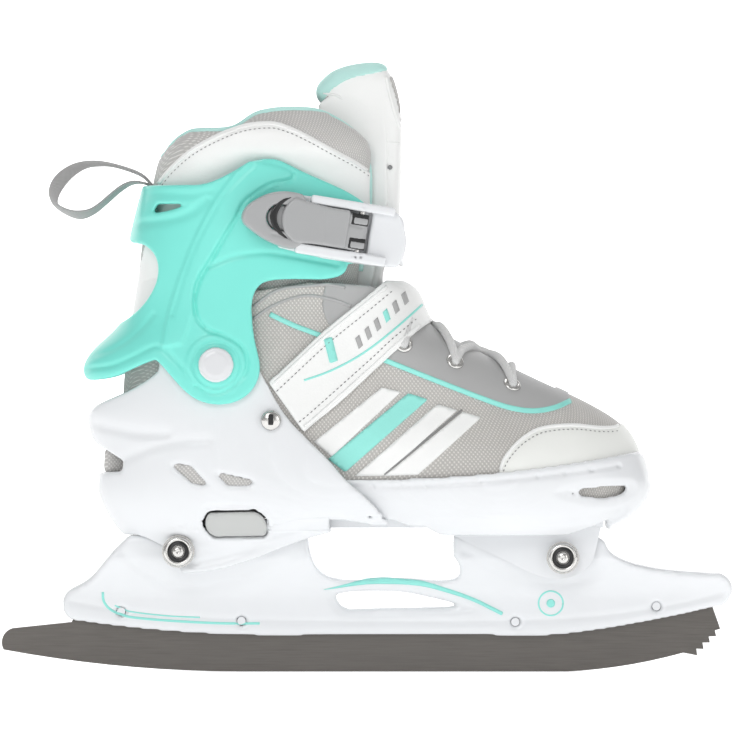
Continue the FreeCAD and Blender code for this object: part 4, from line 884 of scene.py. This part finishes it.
def make_fasteners():
    make_bolt_rings()
    y = on_surface(tree_of(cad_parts["shell_rivets"]), -45.4, 121.2, OUTER)[0].y / MM
    dome = [(0.05, 1.5), (2.0, 1.3), (3.8, 0.7), (4.8, 0.05), (4.7, -0.4), (0.05, -0.4)]
    turned_ring("rivet_dome", (-45.5, 121.3), y, dome, "bright_steel", "chassis")
    slot = np.array([(-46.8, 119.0), (-44.2, 119.0), (-44.2, 124.4), (-46.8, 124.4)])
    plate("rivet_slot", slot, y - 1.75, y, 0.3, "black_plastic", "chassis", 0.3)
    field = node_field("pivot_rivets", 0.6, 1.5)
    field.relief([(ring_path(PIVOT, 6.6), 0.7, 0.35)])
    field_piece("pivot_caps", field, "pearl_plastic", "chassis", ["pivot_rivets"])
    field_piece("size_key", node_field("size_button", 0.6, 1.0), "pale_grey_plastic", "button",
                ["size_button"])


# ---- buckle --------------------------------------------------------------------------------------------

BUCKLE_TILT, BUCKLE_YAW = math.radians(9.0), math.radians(7.5)
BUCKLE_ORIGIN = np.array((-4.0, -42.8, 212.6))
BUCKLE_FORWARD = np.array((math.cos(BUCKLE_YAW) * math.cos(BUCKLE_TILT),
                           math.sin(BUCKLE_YAW) * math.cos(BUCKLE_TILT), -math.sin(BUCKLE_TILT)))
BUCKLE_UP = np.array((math.cos(BUCKLE_YAW) * math.sin(BUCKLE_TILT),
                      math.sin(BUCKLE_YAW) * math.sin(BUCKLE_TILT), math.cos(BUCKLE_TILT)))
BUCKLE_OUT = np.cross(BUCKLE_FORWARD, BUCKLE_UP)


def buckle_side(points):
    """Side view positions of points given in the buckle's own frame, as (forward, up)."""
    return np.array([(BUCKLE_ORIGIN + a * BUCKLE_FORWARD + b * BUCKLE_UP)[[0, 2]] for a, b in points])


def in_buckle(points):
    """Places of points given in the buckle's own frame, as (forward, up, out)."""
    return BUCKLE_ORIGIN + np.array(points) @ np.stack([BUCKLE_FORWARD, BUCKLE_UP, BUCKLE_OUT])


def buckle_block(name, along, up, out, radius, finish, body):
    """A rounded block with ranges in the buckle's own frame."""
    points = in_buckle([(a, b, c) for a in along for b in up for c in out])
    quads = [(0, 1, 3, 2), (4, 6, 7, 5), (0, 4, 5, 1), (2, 3, 7, 6), (0, 2, 6, 4), (1, 5, 7, 3)]
    triangles = np.array([t for a, b, c, d in quads for t in ((a, b, c), (a, c, d))], np.uint32)
    return field_piece(name, rounded(points, triangles, 0.3, radius), finish, body)


def buckle_plate(name, path, out, radius, finish, body):
    """A rounded plate with an outline in the buckle's own frame, between two heights above its base."""
    flat, faces = filled(path, 1.8)
    low, high = (in_buckle([(a, b, height) for a, b in flat]) for height in out)
    return rounded_slab(name, high, low, faces, 0.35, radius, finish, body)


def make_lever():
    lever = node_field("buckle_lever", 0.45, 0.8)
    lever.relief([(buckle_side([(-33, 6.8), (-24, 4.6), (-12, 2.6), (2, 1.6)]), 0.9, 0.5),
                  (buckle_side([(-40, -8.4), (-30, -9.4), (-26, -7.6)]), 0.8, 0.4)])
    field_piece("lever_body", lever, "grey_plastic", "lever", ["buckle_lever"])
    release = node_field("buckle_release", 0.45, 0.8)
    field_piece("release_tongue", release, "release_grey", "release", ["buckle_release"])
    # A thin dark grey plate deep under the release: painted shade that darkens the gaps round it.
    buckle_block("release_shade_plate", (-46, -14), (-6.6, 6.2), (3.0, 3.5), 0.15, "dark_grey_plastic", "lever")
    # A thin black crescent round the rounded end of the saddle, lower than its top: a painted shadow.
    crescent = outline([(-34.0, 10.6), (-39.5, 8.4), (-43.6, 3.0), (-44.3, -0.8), (-42.6, -4.6),
                        (-38.6, -8.4), (-30.6, -11.4)],
                       [(-30.6, -11.4), (-35.8, -8.2), (-39.2, -4.4), (-40.6, -0.8), (-40.2, 3.0),
                        (-38.2, 7.0), (-34.0, 10.6)])
    buckle_plate("release_shadow_crescent", crescent, (10.3, 11.3), 0.2, "black_plastic", "lever")
    saddle = outline([(-33.5, 10.4), (-26, 9.2), (-16, 8.3), (-5.8, 8.2)], [(-5.8, 8.2), (-5.8, -10.3)],
                     [(-5.8, -10.3), (-15, -10.3), (-23, -10.6), (-30.6, -11.4)],
                     [(-30.6, -11.4), (-36.0, -7.0), (-38.2, -0.8), (-37.4, 5.0), (-33.5, 10.4)])
    buckle_plate("lever_saddle", saddle, (9.6, 12.1), 0.9, "grey_plastic", "lever")


def make_buckle():
    base = node_field("buckle_frame", 0.5, 0.7)
    field_piece("buckle_base", base, "white_plastic", "ankle_cuff", ["buckle_frame"])
    band = node_field("buckle_strap", 0.55, 0.7)
    field_piece("buckle_band", band, "white_plastic", "ankle_cuff", ["buckle_strap"])
    make_lever()
    for word, along, up in (("upper", (-25.5, 15.5), (8.7, 12.9)), ("lower", (-29.5, 14.5), (-15.9, -11))):
        buckle_block(f"rail_cover_{word}", along, up, (5.2, 10.8), 0.9, "white_plastic", "ankle_cuff")
    for word, low in (("upper", 1.8), ("lower", -9.8)):
        pocket, block = (low, low + 5.6), (low + 0.5, low + 3.7)
        buckle_block(f"hinge_pocket_{word}", (-5.0, 3.4), pocket, (9.6, 11.15), 0.3, "black_plastic", "lever")
        buckle_block(f"hinge_block_{word}", (-3.9, 3.1), block, (9.8, 11.4), 0.35, "grey_plastic", "lever")


# ---- fabric shell of the foot --------------------------------------------------------------------------

def make_upper():
    """The knitted foot, and the toe cap and eyestays as layers that follow its surface."""
    field = node_field("toe_upper", 0.7, 0.0, 0.45)
    upper = field_piece("upper_mesh", field, "grey_fabric", "toe", ["toe_upper"])
    cap_area = outline([(63.8, 97.4), (65.6, 102.8), (70, 109), (75.8, 114.1), (84.2, 118.2),
                       (98.3, 119.6), (112, 118.4), (120, 118.6), (123.6, 120.4), (124.4, 126)],
                       [(124.4, 126), (124.4, 140)], [(124.4, 140), (160, 140)],
                       [(160, 140), (160, 93.5)], [(160, 93.5), (63.4, 90)], [(63.4, 90), (63.8, 97.4)])
    cap = field.skin(0.8, 1.5, 100).keep_inside(cap_area)
    cap = field_piece("toe_cap_leather", cap, "cap_leather", "toe", ["toe_cap"])
    stay_area = outline([(-19, 190), (-21, 176), (-17, 166), (-8, 156.2), (11.2, 149.3), (34, 140.2),
                        (54.1, 132.4), (68, 127.6), (79.7, 125.8), (90, 127.2), (97, 130.6), (98, 138)],
                        [(98, 138), (60, 175)], [(60, 175), (-10, 204)], [(-10, 204), (-19, 190)])
    layer = field.skin(0.6, 1.2, 110).keep_inside(stay_area)
    stays = []
    for side, word in SIDES:
        stays.append(field_piece(f"eyestay_{word}_leather", layer.half(side), "dark_grey_leather", "toe",
                                 [f"eyestay_{word}"]))
    return upper, cap, stays


def make_overlays():
    """The throat's lace tongue and the instep strap, which are thin, so that their walls grow a little."""
    tongue = node_field("lace_tongue", 0.7, 0.0, 0.3)
    tongue = field_piece("lace_tongue_leather", tongue, "dark_grey_leather", "toe", ["lace_tongue"])
    strap = node_field("instep_strap", 0.6, 0.25, 0.25)
    strap = field_piece("instep_strap_leather", strap, "white_leather", "toe", ["instep_strap"])
    return tongue, strap


def side_stripes(upper):
    tree = tree_of(upper)
    stripes = [
        ("white_leather", [(-25, 111), (7.6, 137.1), (16.8, 134.9), (-16.3, 104)]),
        ("mint_trim", [(-18, 102.8), (20.4, 134.3), (29.7, 131.3), (-9.9, 96.5)]),
        ("white_leather", [(-5.3, 94.7), (34.3, 129), (43.7, 126.1), (8.7, 94.8)]),
        ("white_leather", [(8.9, 94.8), (46.4, 125.2), (55.2, 122.6), (25, 95.2)]),
    ]
    for side, word in SIDES:
        for number, (finish, corners) in enumerate(stripes):
            patch(f"stripe_{word}_{number}", np.array(corners, float), tree, 0.5, finish, "toe", side)
        edge = [(8.9, 95.4), (46.0, 126.2)]
        ribbon(f"stripe_edge_{word}", edge, 0.9, 0.66, tree, "stitch_grey", "toe", side)


def upper_trim(upper, cap, stays):
    """Mint band and thread under the eyestay, stitches round the toe cap and seams in the mesh."""
    tree = tree_of(upper, cap, *stays)
    band = curve_through([(-46, 172.2), (-35, 167), (-24.7, 163.1), (-8, 156.6), (11.2, 149.3), (34, 140.2),
                          (54.1, 132.4), (68, 127.6), (79.7, 125.8), (90, 127.2), (98.3, 130.6)])
    cap_edge = curve_through([(64.4, 97.4), (66.2, 102.6), (70.5, 108.5), (76.2, 113.5), (84.4, 117.6),
                              (98.3, 119.0), (112, 117.8), (119, 118.0), (122.6, 119.2)])
    seams = ([(-54, 176), (-42.5, 183.5), (-24, 187), (-10, 185)],
             [(-54, 170), (-44, 176.5), (-30, 181), (-17, 179.5), (-7, 176)])
    band_thread = band + (0.6, -2.2)
    cap_thread = cap_edge[:-6] + (1.0, -2.0)
    stitch = (0.8, 0.3, 0.3)
    for side, word in SIDES:
        ribbon(f"eyestay_band_{word}", band, 2.4, 0.5, tree, "mint_trim", "toe", side, 0.5)
        beads(f"eyestay_thread_{word}", band_thread, 2.2, stitch, tree, "lace_white", "toe", side, 0.2)
        ribbon(f"cap_edge_{word}", cap_edge, 1.5, 0.4, tree, "white_leather", "toe", side, 0.5)
        beads(f"cap_thread_{word}", cap_thread, 2.2, stitch, tree, "stitch_grey", "toe", side, 0.2)
        for number, seam in enumerate(seams):
            ribbon(f"upper_seam_{word}_{number}", curve_through(seam), 1.5, 0.35, tree,
                   "dark_grey_leather", "toe", side, 0.4)


def strap_trim(strap):
    """Piping, a mint line and bar, and a row of plain slanted dashes on the instep strap."""
    tree = tree_of(strap)
    high = curve_through([(-44.6, 138.2), (-32, 150), (-19.6, 161.4), (-3, 174.8), (9.8, 185.4)])
    low = curve_through([(-29.4, 118.2), (-23.4, 123.2), (4.6, 148.2), (14, 157), (26, 167)])
    line = curve_through([(-29.6, 140.5), (-18, 144.6), (-6.4, 150.4), (4.2, 157.4), (16, 167),
                         (28.1, 177.8)])
    bar = np.array([(-20.2, 160.0), (-16.3, 161.6), (-13.4, 149.9), (-17.3, 148.5)])
    high_thread, low_thread = high + (2.2, -2.6), low + (-2.2, 2.6)
    stitch = (0.9, 0.3, 0.3)
    for side, word in SIDES:
        ribbon(f"strap_edge_high_{word}", high, 1.7, 0.4, tree, "white_leather", "toe", side, 0.6)
        ribbon(f"strap_edge_low_{word}", low, 1.7, 0.4, tree, "white_leather", "toe", side, 0.6)
        beads(f"strap_thread_{word}", high_thread, 2.4, stitch, tree, "stitch_grey", "toe", side, 0.15)
        beads(f"strap_thread_low_{word}", low_thread, 2.4, stitch, tree, "stitch_grey", "toe", side, 0.15)
        ribbon(f"strap_line_{word}", line, 1.0, 0.2, tree, "mint_trim", "toe", side)
        patch(f"strap_bar_{word}", bar, tree, 0.25, "mint_trim", "toe", side)
        for number in range(6):
            x, z = -3.4 + 4.4 * number, 155.4 + 4.2 * number
            dash = np.array([(x, z), (x + 2.0, z + 1.9), (x + 0.2, z + 7.0), (x - 1.8, z + 5.1)])
            finish = "mint_dash" if number == 3 else "dark_grey_leather"
            patch(f"strap_dash_{word}_{number}", dash, tree, 0.2, finish, "toe", side, 0.9)


# ---- laces ---------------------------------------------------------------------------------------------

EYELETS = [(18.2, 158.0), (42.8, 149.6), (70.2, 138.6)]


def from_above(tree, x, y, lift):
    """The highest place on the surface at (x, y), lifted, in millimetres."""
    hit, _, _, _ = tree.ray_cast(Vector((x * MM, y * MM, 0.4)), Vector((0, 0, -1)))
    return None if hit is None else np.array(hit) / MM + (0, 0, lift)


def eyelet_spot(tree, number, side):
    return on_surface(tree, *EYELETS[number], side)


def make_eyelets(tree):
    """Pressed metal rings that lie flat on the eyestays."""
    profile = [(2.3, 0.1), (2.5, 0.75), (3.2, 1.0), (4.0, 0.7), (4.4, 0.05), (3.4, -0.8), (2.4, -0.8)]
    steps, count = 32, len(profile)
    points, quads = [], []
    for number in range(len(EYELETS)):
        for side in (OUTER, INNER):
            place, normal = eyelet_spot(tree, number, side)
            across = normal.cross(Vector((1, 0, 0))).normalized()
            along = across.cross(normal).normalized()
            quads += ring_faces(steps, count, closed=True, start=len(points))
            for step in range(steps):
                angle = 2 * math.pi * step / steps
                away = along * math.cos(angle) + across * math.sin(angle)
                points += [(place / MM + away * r + normal * h)[:] for r, h in profile]
    points = np.array(points)
    mesh = build_mesh("eyelet_rings", points, *outward(points, np.zeros((0, 3), int), np.array(quads)))
    add_piece("eyelet_rings", mesh, "bright_steel", "toe", ["eyelets"])


def lace_run(name, tree, first, last, middle_lift, replaced=()):
    """A lace from one eyelet over the throat to another; each end is (eyelet number, side)."""
    ends = []
    for number, side in (first, last):
        place, normal = eyelet_spot(tree, number, side)
        ends.append((np.array(place / MM), np.array(normal)))
    (start, start_normal), (end, end_normal) = ends
    spots = [start - start_normal * 1.2, start + start_normal * 1.6]
    for part in np.linspace(0.1, 0.9, 9):
        x, y = start[0] + part * (end[0] - start[0]), start[1] + part * (end[1] - start[1])
        over = from_above(tree, x, y, middle_lift)
        if over is not None:
            spots.append(over)
    spots += [end + end_normal * 1.6, end - end_normal * 1.2]
    spots = curve_through(np.array(spots), steps=5)
    for _ in range(4):
        spots[2:-2] = (spots[1:-3] + 2 * spots[2:-2] + spots[3:-1]) / 4
    return tube(name, spots, 2.05, "lace_white", "toe", replaced)


def make_laces(pieces):
    """Two crossings, the rising run over the falling one at each, and a straight run at the toe."""
    tree = tree_of(*pieces)
    make_eyelets(tree)
    lace_run("lace_a", tree, (0, OUTER), (1, INNER), 1.0, ["shoelace"])
    lace_run("lace_b", tree, (1, OUTER), (0, INNER), 2.4)
    lace_run("lace_c", tree, (1, OUTER), (2, INNER), 1.0)
    lace_run("lace_d", tree, (2, OUTER), (1, INNER), 2.4)
    lace_run("lace_e", tree, (2, OUTER), (2, INNER), 1.0)


# ---- padded pieces -------------------------------------------------------------------------------------

def padded_piece(name, field, cap, finish, body, replaced):
    """A piece whose cover is blown up as cloth; cap gives how far its points may move, in metres."""
    mesh = field_mesh(name, field)
    mesh = clothed(mesh, cap)
    for polygon in mesh.polygons:
        polygon.use_smooth = True
    return add_piece(name, mesh, finish, body, replaced)


def field_of(piece, voxel, shift=0.0):
    points, triangles = mesh_arrays(piece.data)
    return Field(grid_of(points, triangles, None, voxel, 5.0), voxel, shift)


def collar_cap(points):
    """Free to swell above the cuff's top edge, and held back inside the cuff."""
    return np.clip((points[:, 2] - 0.238) / 0.014, 0.05, 1.0) * 0.0035


def make_collar():
    collar = node_field("collar", 1.0, 2.0, 0.3)
    collar = padded_piece("collar_pad", collar, collar_cap, "pad_fabric", "ankle_cuff", ["collar"])
    field = field_of(collar, 0.9)
    top = [(-104, 226), (-99.6, 235.2), (-92.9, 243), (-83, 251.3), (-70.6, 257.9), (-58.2, 262.4),
           (-45.8, 263.7), (-37.5, 261.6), (-29.3, 257.9), (-16.9, 251.3), (-4.5, 244.7), (6.2, 237.2),
           (14, 231)]
    cover = outline(top, [(14, 231), (14, 224)], [(14, 224), (-56, 214)], [(-56, 214), (-86, 196)],
                    [(-86, 196), (-92, 146)], [(-92, 146), (-130, 146)], [(-130, 146), (-126, 220)],
                    [(-126, 220), (-104, 226)])
    leather = field.skin(0.8, 1.5, 244).keep_inside(cover)
    leather = field_piece("collar_leather", leather, "white_leather", "ankle_cuff")
    tree = tree_of(collar, leather)
    seam = curve_through(top[1:-1])
    thread = seam + (0.4, -2.4)
    for side, word in SIDES:
        ribbon(f"collar_seam_{word}", seam, 1.8, 0.5, tree, "white_leather", "ankle_cuff", side, 0.8)
        beads(f"collar_thread_{word}", thread, 2.3, (0.85, 0.3, 0.3), tree, "stitch_grey",
              "ankle_cuff", side, 0.15)
        tube(f"collar_binding_{word}", rim_line(tree, side), 1.5, "pale_mint", "ankle_cuff")
    return collar


def rim_line(tree, side):
    """A line along the collar's crown, from the heel round to the front and down the front edge."""
    spots = []
    for angle in np.radians(np.arange(180, 22, -3.5)):
        away = Vector((math.cos(angle), side * math.sin(angle), 0))
        for z in np.arange(284, 228, -0.4):
            axis = Vector((PIVOT[0] + 18, 0, z)) * MM
            hit, _, _, _ = tree.ray_cast(axis + away * 0.15, -away, 0.14)
            if hit is not None:
                spots.append(np.array(hit) / MM - 0.9 * np.array(away) + (0, 0, 0.3))
                break
    for z in np.arange(248, 188, -5.0):
        hit, _, _, _ = tree.ray_cast(Vector((0.08, side * 0.0238, z * MM)), Vector((-1, 0, 0)), 0.12)
        if hit is not None:
            spots.append(np.array(hit) / MM + (0.6, 0, 0))
    spots = np.array(spots)
    for _ in range(3):
        spots[1:-1] = (spots[:-2] + 2 * spots[1:-1] + spots[2:]) / 4
    return curve_through(spots, steps=3)


def outer_radius(tree, angle, z):
    """Distance from the pivot's upright line to the outer surface, in millimetres."""
    away = Vector((math.cos(angle), math.sin(angle), 0))
    for height in (z, z + 1.3, z - 1.3, z + 3.1, z - 3.1, z + 6, z + 9, z + 12):
        axis = Vector((PIVOT[0], 0, height)) * MM
        hit, _, _, _ = tree.ray_cast(axis + away * 0.2, -away)
        if hit is not None:
            return (hit - axis).length / MM
    raise ValueError(f"no surface near height {z} at {math.degrees(angle):.0f} degrees")


def make_panel(name, trees, degrees, finish):
    """A soft panel that closes the gap between the liner and the collar over a range of angles."""
    rows = []
    for angle in np.radians(degrees):
        low, high = outer_radius(trees[0], angle, 160) + 0.8, outer_radius(trees[1], angle, 194) + 0.1
        away = Vector((math.cos(angle), math.sin(angle), 0))
        ring = []
        for inset, heights in ((0.0, range(156, 197, 4)), (1.2, range(196, 155, -4))):
            ring += [Vector((PIVOT[0], 0, z)) + away * (low + (high - low) * (z - 160) / 34 - inset)
                     for z in heights]
        rows.append(ring)
    add_piece(name, strip_mesh(name, rows), finish, "ankle_cuff")


def make_ankle_panels(collar, liner):
    trees = tree_of(liner), tree_of(collar)
    make_panel("heel_panel", trees, np.arange(112, 249, 4), "white_leather")
    make_panel("ankle_panel_inner", trees, np.arange(46, 115, 4), "pad_fabric")
    make_panel("ankle_panel_outer", trees, np.arange(246, 315, 4), "pad_fabric")


def tongue_cap(points):
    """The boot's tongue swells by the same small amount all over."""
    return np.full(len(points), 0.0022)


def tongue_layers(field):
    """A mint binding over the top, mesh down the front corner and a slit with mesh behind it."""
    binding = outline([(-30, 274), (-27.4, 281), (-21, 289.5), (-12, 295), (0, 298), (12, 296)],
                      [(12, 296), (10, 289.4)],
                      [(10, 289.4), (2, 287.6), (-7, 285.6), (-13.4, 282.4), (-18.4, 277.6), (-21.4, 271)],
                      [(-21.4, 271), (-30, 274)])
    corner = outline([(11.0, 286.4), (14.4, 276), (17.4, 264)], [(17.4, 264), (22, 264)],
                     [(22, 264), (20, 292)], [(20, 292), (11.0, 286.4)])
    slit = outline([(-20.6, 277.4), (-15, 276.6), (-9, 272), (-4.6, 266)], [(-4.6, 266), (-5.6, 264.4)],
                   [(-5.6, 264.4), (-12, 267.6), (-19, 272.4), (-20.6, 277.4)])
    for name, area, lift, thickness, finish in (("tongue_binding", binding, 0.7, 1.4, "pale_mint"),
                                                ("tongue_side_mesh", corner, 0.5, 1.2, "pad_fabric"),
                                                ("tongue_vent", slit, 0.45, 1.1, "pad_fabric")):
        field_piece(name, field.skin(lift, thickness).keep_inside(area), finish, "ankle_cuff")


def make_tongue():
    tongue = node_field("tongue", 0.9, 2.8, 0.2)
    tongue = padded_piece("tongue_pad", tongue, tongue_cap, "white_leather", "ankle_cuff", ["tongue"])
    wing = outline([(-23, 273), (-16, 278.5), (-6, 280), (4, 279), (10, 274)], [(10, 274), (11, 226)],
                   [(11, 226), (6, 205), (3, 182)], [(3, 182), (-16, 182)],
                   [(-16, 182), (-18, 224), (-21, 250), (-23, 273)])
    for side, word in SIDES:
        plate(f"tongue_wing_{word}", wing, side * 20.9, side * 17.6, 1.2, "white_leather", "ankle_cuff", 0.7)
    tongue_layers(field_of(tongue, 0.9))
    tree = tree_of(tongue)
    seams = (("seam", [(9.6, 286.4), (11, 280), (13, 272), (16.2, 262)], 1.5, 0.5, 0.6),
             ("slit_edge", [(-20.4, 278.6), (-14, 277.4), (-8, 272.8), (-3.6, 266.4)], 1.3, 0.5, 0.6),
             ("cross_seam", [(3, 255.4), (9, 255), (16, 254.6)], 0.8, 0.25, 0.0))
    snap = ring_path((11.6, 242.9), 1.1)[:-1]
    for side, word in SIDES:
        for part, path, width, lift, crown in seams:
            ribbon(f"tongue_{part}_{word}", curve_through(path), width, lift, tree,
                   "white_leather", "ankle_cuff", side, crown)
        patch(f"tongue_snap_{word}", snap, tree, 0.7, "dark_grey_plastic", "ankle_cuff", side, 0.6)


def make_liner(collar):
    """The inner boot, the panels that join it to the collar, and the two halves of the footbed."""
    liner = field_piece("liner_pad", node_field("liner", 1.1, 2.6), "pad_fabric", "chassis", ["liner"])
    make_ankle_panels(collar, liner)
    for word, body in (("heel", "chassis"), ("toe", "toe")):
        insole = f"{word}_insole"
        field_piece(f"{word}_footbed", node_field(insole, 0.8, 1.0), "pad_fabric", body, [insole])


def make_pull_loop():
    """A flat tape that turns edge-on where it enters the boot and shows its face at the far end."""
    count, width, thickness = 90, 11.6, 1.1
    outer_edge = curve_through([(-100.5, 233.2), (-103, 234.8), (-109, 240.4), (-121, 244.6),
                               (-131, 246.2), (-140, 245.2), (-147.4, 241.4), (-152, 235.8),
                               (-152.8, 229.8), (-149, 223.6), (-139.2, 218.6), (-131.9, 220.4),
                               (-124.6, 226.2), (-119, 231.2), (-113.5, 234.9), (-108.5, 235.7),
                               (-103.5, 234.4), (-100.5, 233)])
    inner_edge = curve_through([(-100.5, 233.2), (-103, 234.6), (-109, 239.4), (-121, 243.4),
                               (-129.1, 243.8), (-134.6, 242.8), (-140.2, 239.4), (-145, 234.4),
                               (-148.4, 228.6), (-148.2, 224.9), (-142.0, 222.3), (-134.6, 222.5),
                               (-129.1, 225.3), (-122.7, 230.7), (-117.2, 234.7), (-111.7, 236.3),
                               (-104, 234.8), (-100.5, 233)])
    edges = []
    for path in (inner_edge, outer_edge):
        spots = np.linspace(0, len(path) - 1, count)
        edges.append(np.stack([np.interp(spots, range(len(path)), path[:, k]) for k in (0, 1)], axis=1))
    profile = [(-0.985, -0.5), (-1, 0), (-0.985, 0.5), (-0.9, 1), (0.9, 1), (0.985, 0.5), (1, 0),
               (0.985, -0.5), (0.9, -1), (-0.9, -1)]
    rows = []
    middle = (edges[0] + edges[1]) / 2
    headings = np.gradient(middle, axis=0)
    for near, far, centre, heading in zip(*edges, middle, headings):
        half = (far - near) / 2
        depth = math.sqrt(max(4.0, (width / 2) ** 2 - half.dot(half)))
        across = Vector((half[0], depth, half[1]))
        normal = across.cross(Vector((heading[0], 0, heading[1]))).normalized() * thickness / 2
        place = Vector((centre[0], 0, centre[1]))
        rows.append([place + across * a + normal * n for a, n in profile])
    add_piece("pull_tape", strip_mesh("pull_tape", rows), "grey_webbing", "ankle_cuff", ["pull_loop"])


# ---- the CAD nodes that stay visible -------------------------------------------------------------------

KEPT_NODES = {
    "runner_steel": ["blade"],
    "white_plastic": ["blade_pins", "pivot_bushes", "sole_plate"],
    "grey_plastic": ["size_rack"],
    "bright_steel": ["mount_bolts", "bolt_washers", "mount_nuts", "sole_screws", "shell_rivets",
                     "button_spring", "lever_pin", "strap_screw", "frame_rivets", "release_pin",
                     "release_spring"],
}


def dress_node(node, material):
    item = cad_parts[node]
    item.data.materials.clear()
    item.data.materials.append(MATERIALS[material])


def main():
    make_cuff()
    shell, holder = make_heel_shell(), make_holder()
    heel_windows(shell)
    heel_pad()
    sole_skirt(shell, holder)
    make_front_shell()
    holder_prints(holder)
    make_fasteners()
    make_buckle()
    upper, cap, stays = make_upper()
    lace_tongue, strap = make_overlays()
    side_stripes(upper)
    upper_trim(upper, cap, stays)
    strap_trim(strap)
    make_laces([upper, lace_tongue, *stays])
    make_tongue()
    make_liner(make_collar())
    make_pull_loop()
    for material, nodes in KEPT_NODES.items():
        for node in nodes:
            dress_node(node, material)


add_camera()
add_studio()
main()
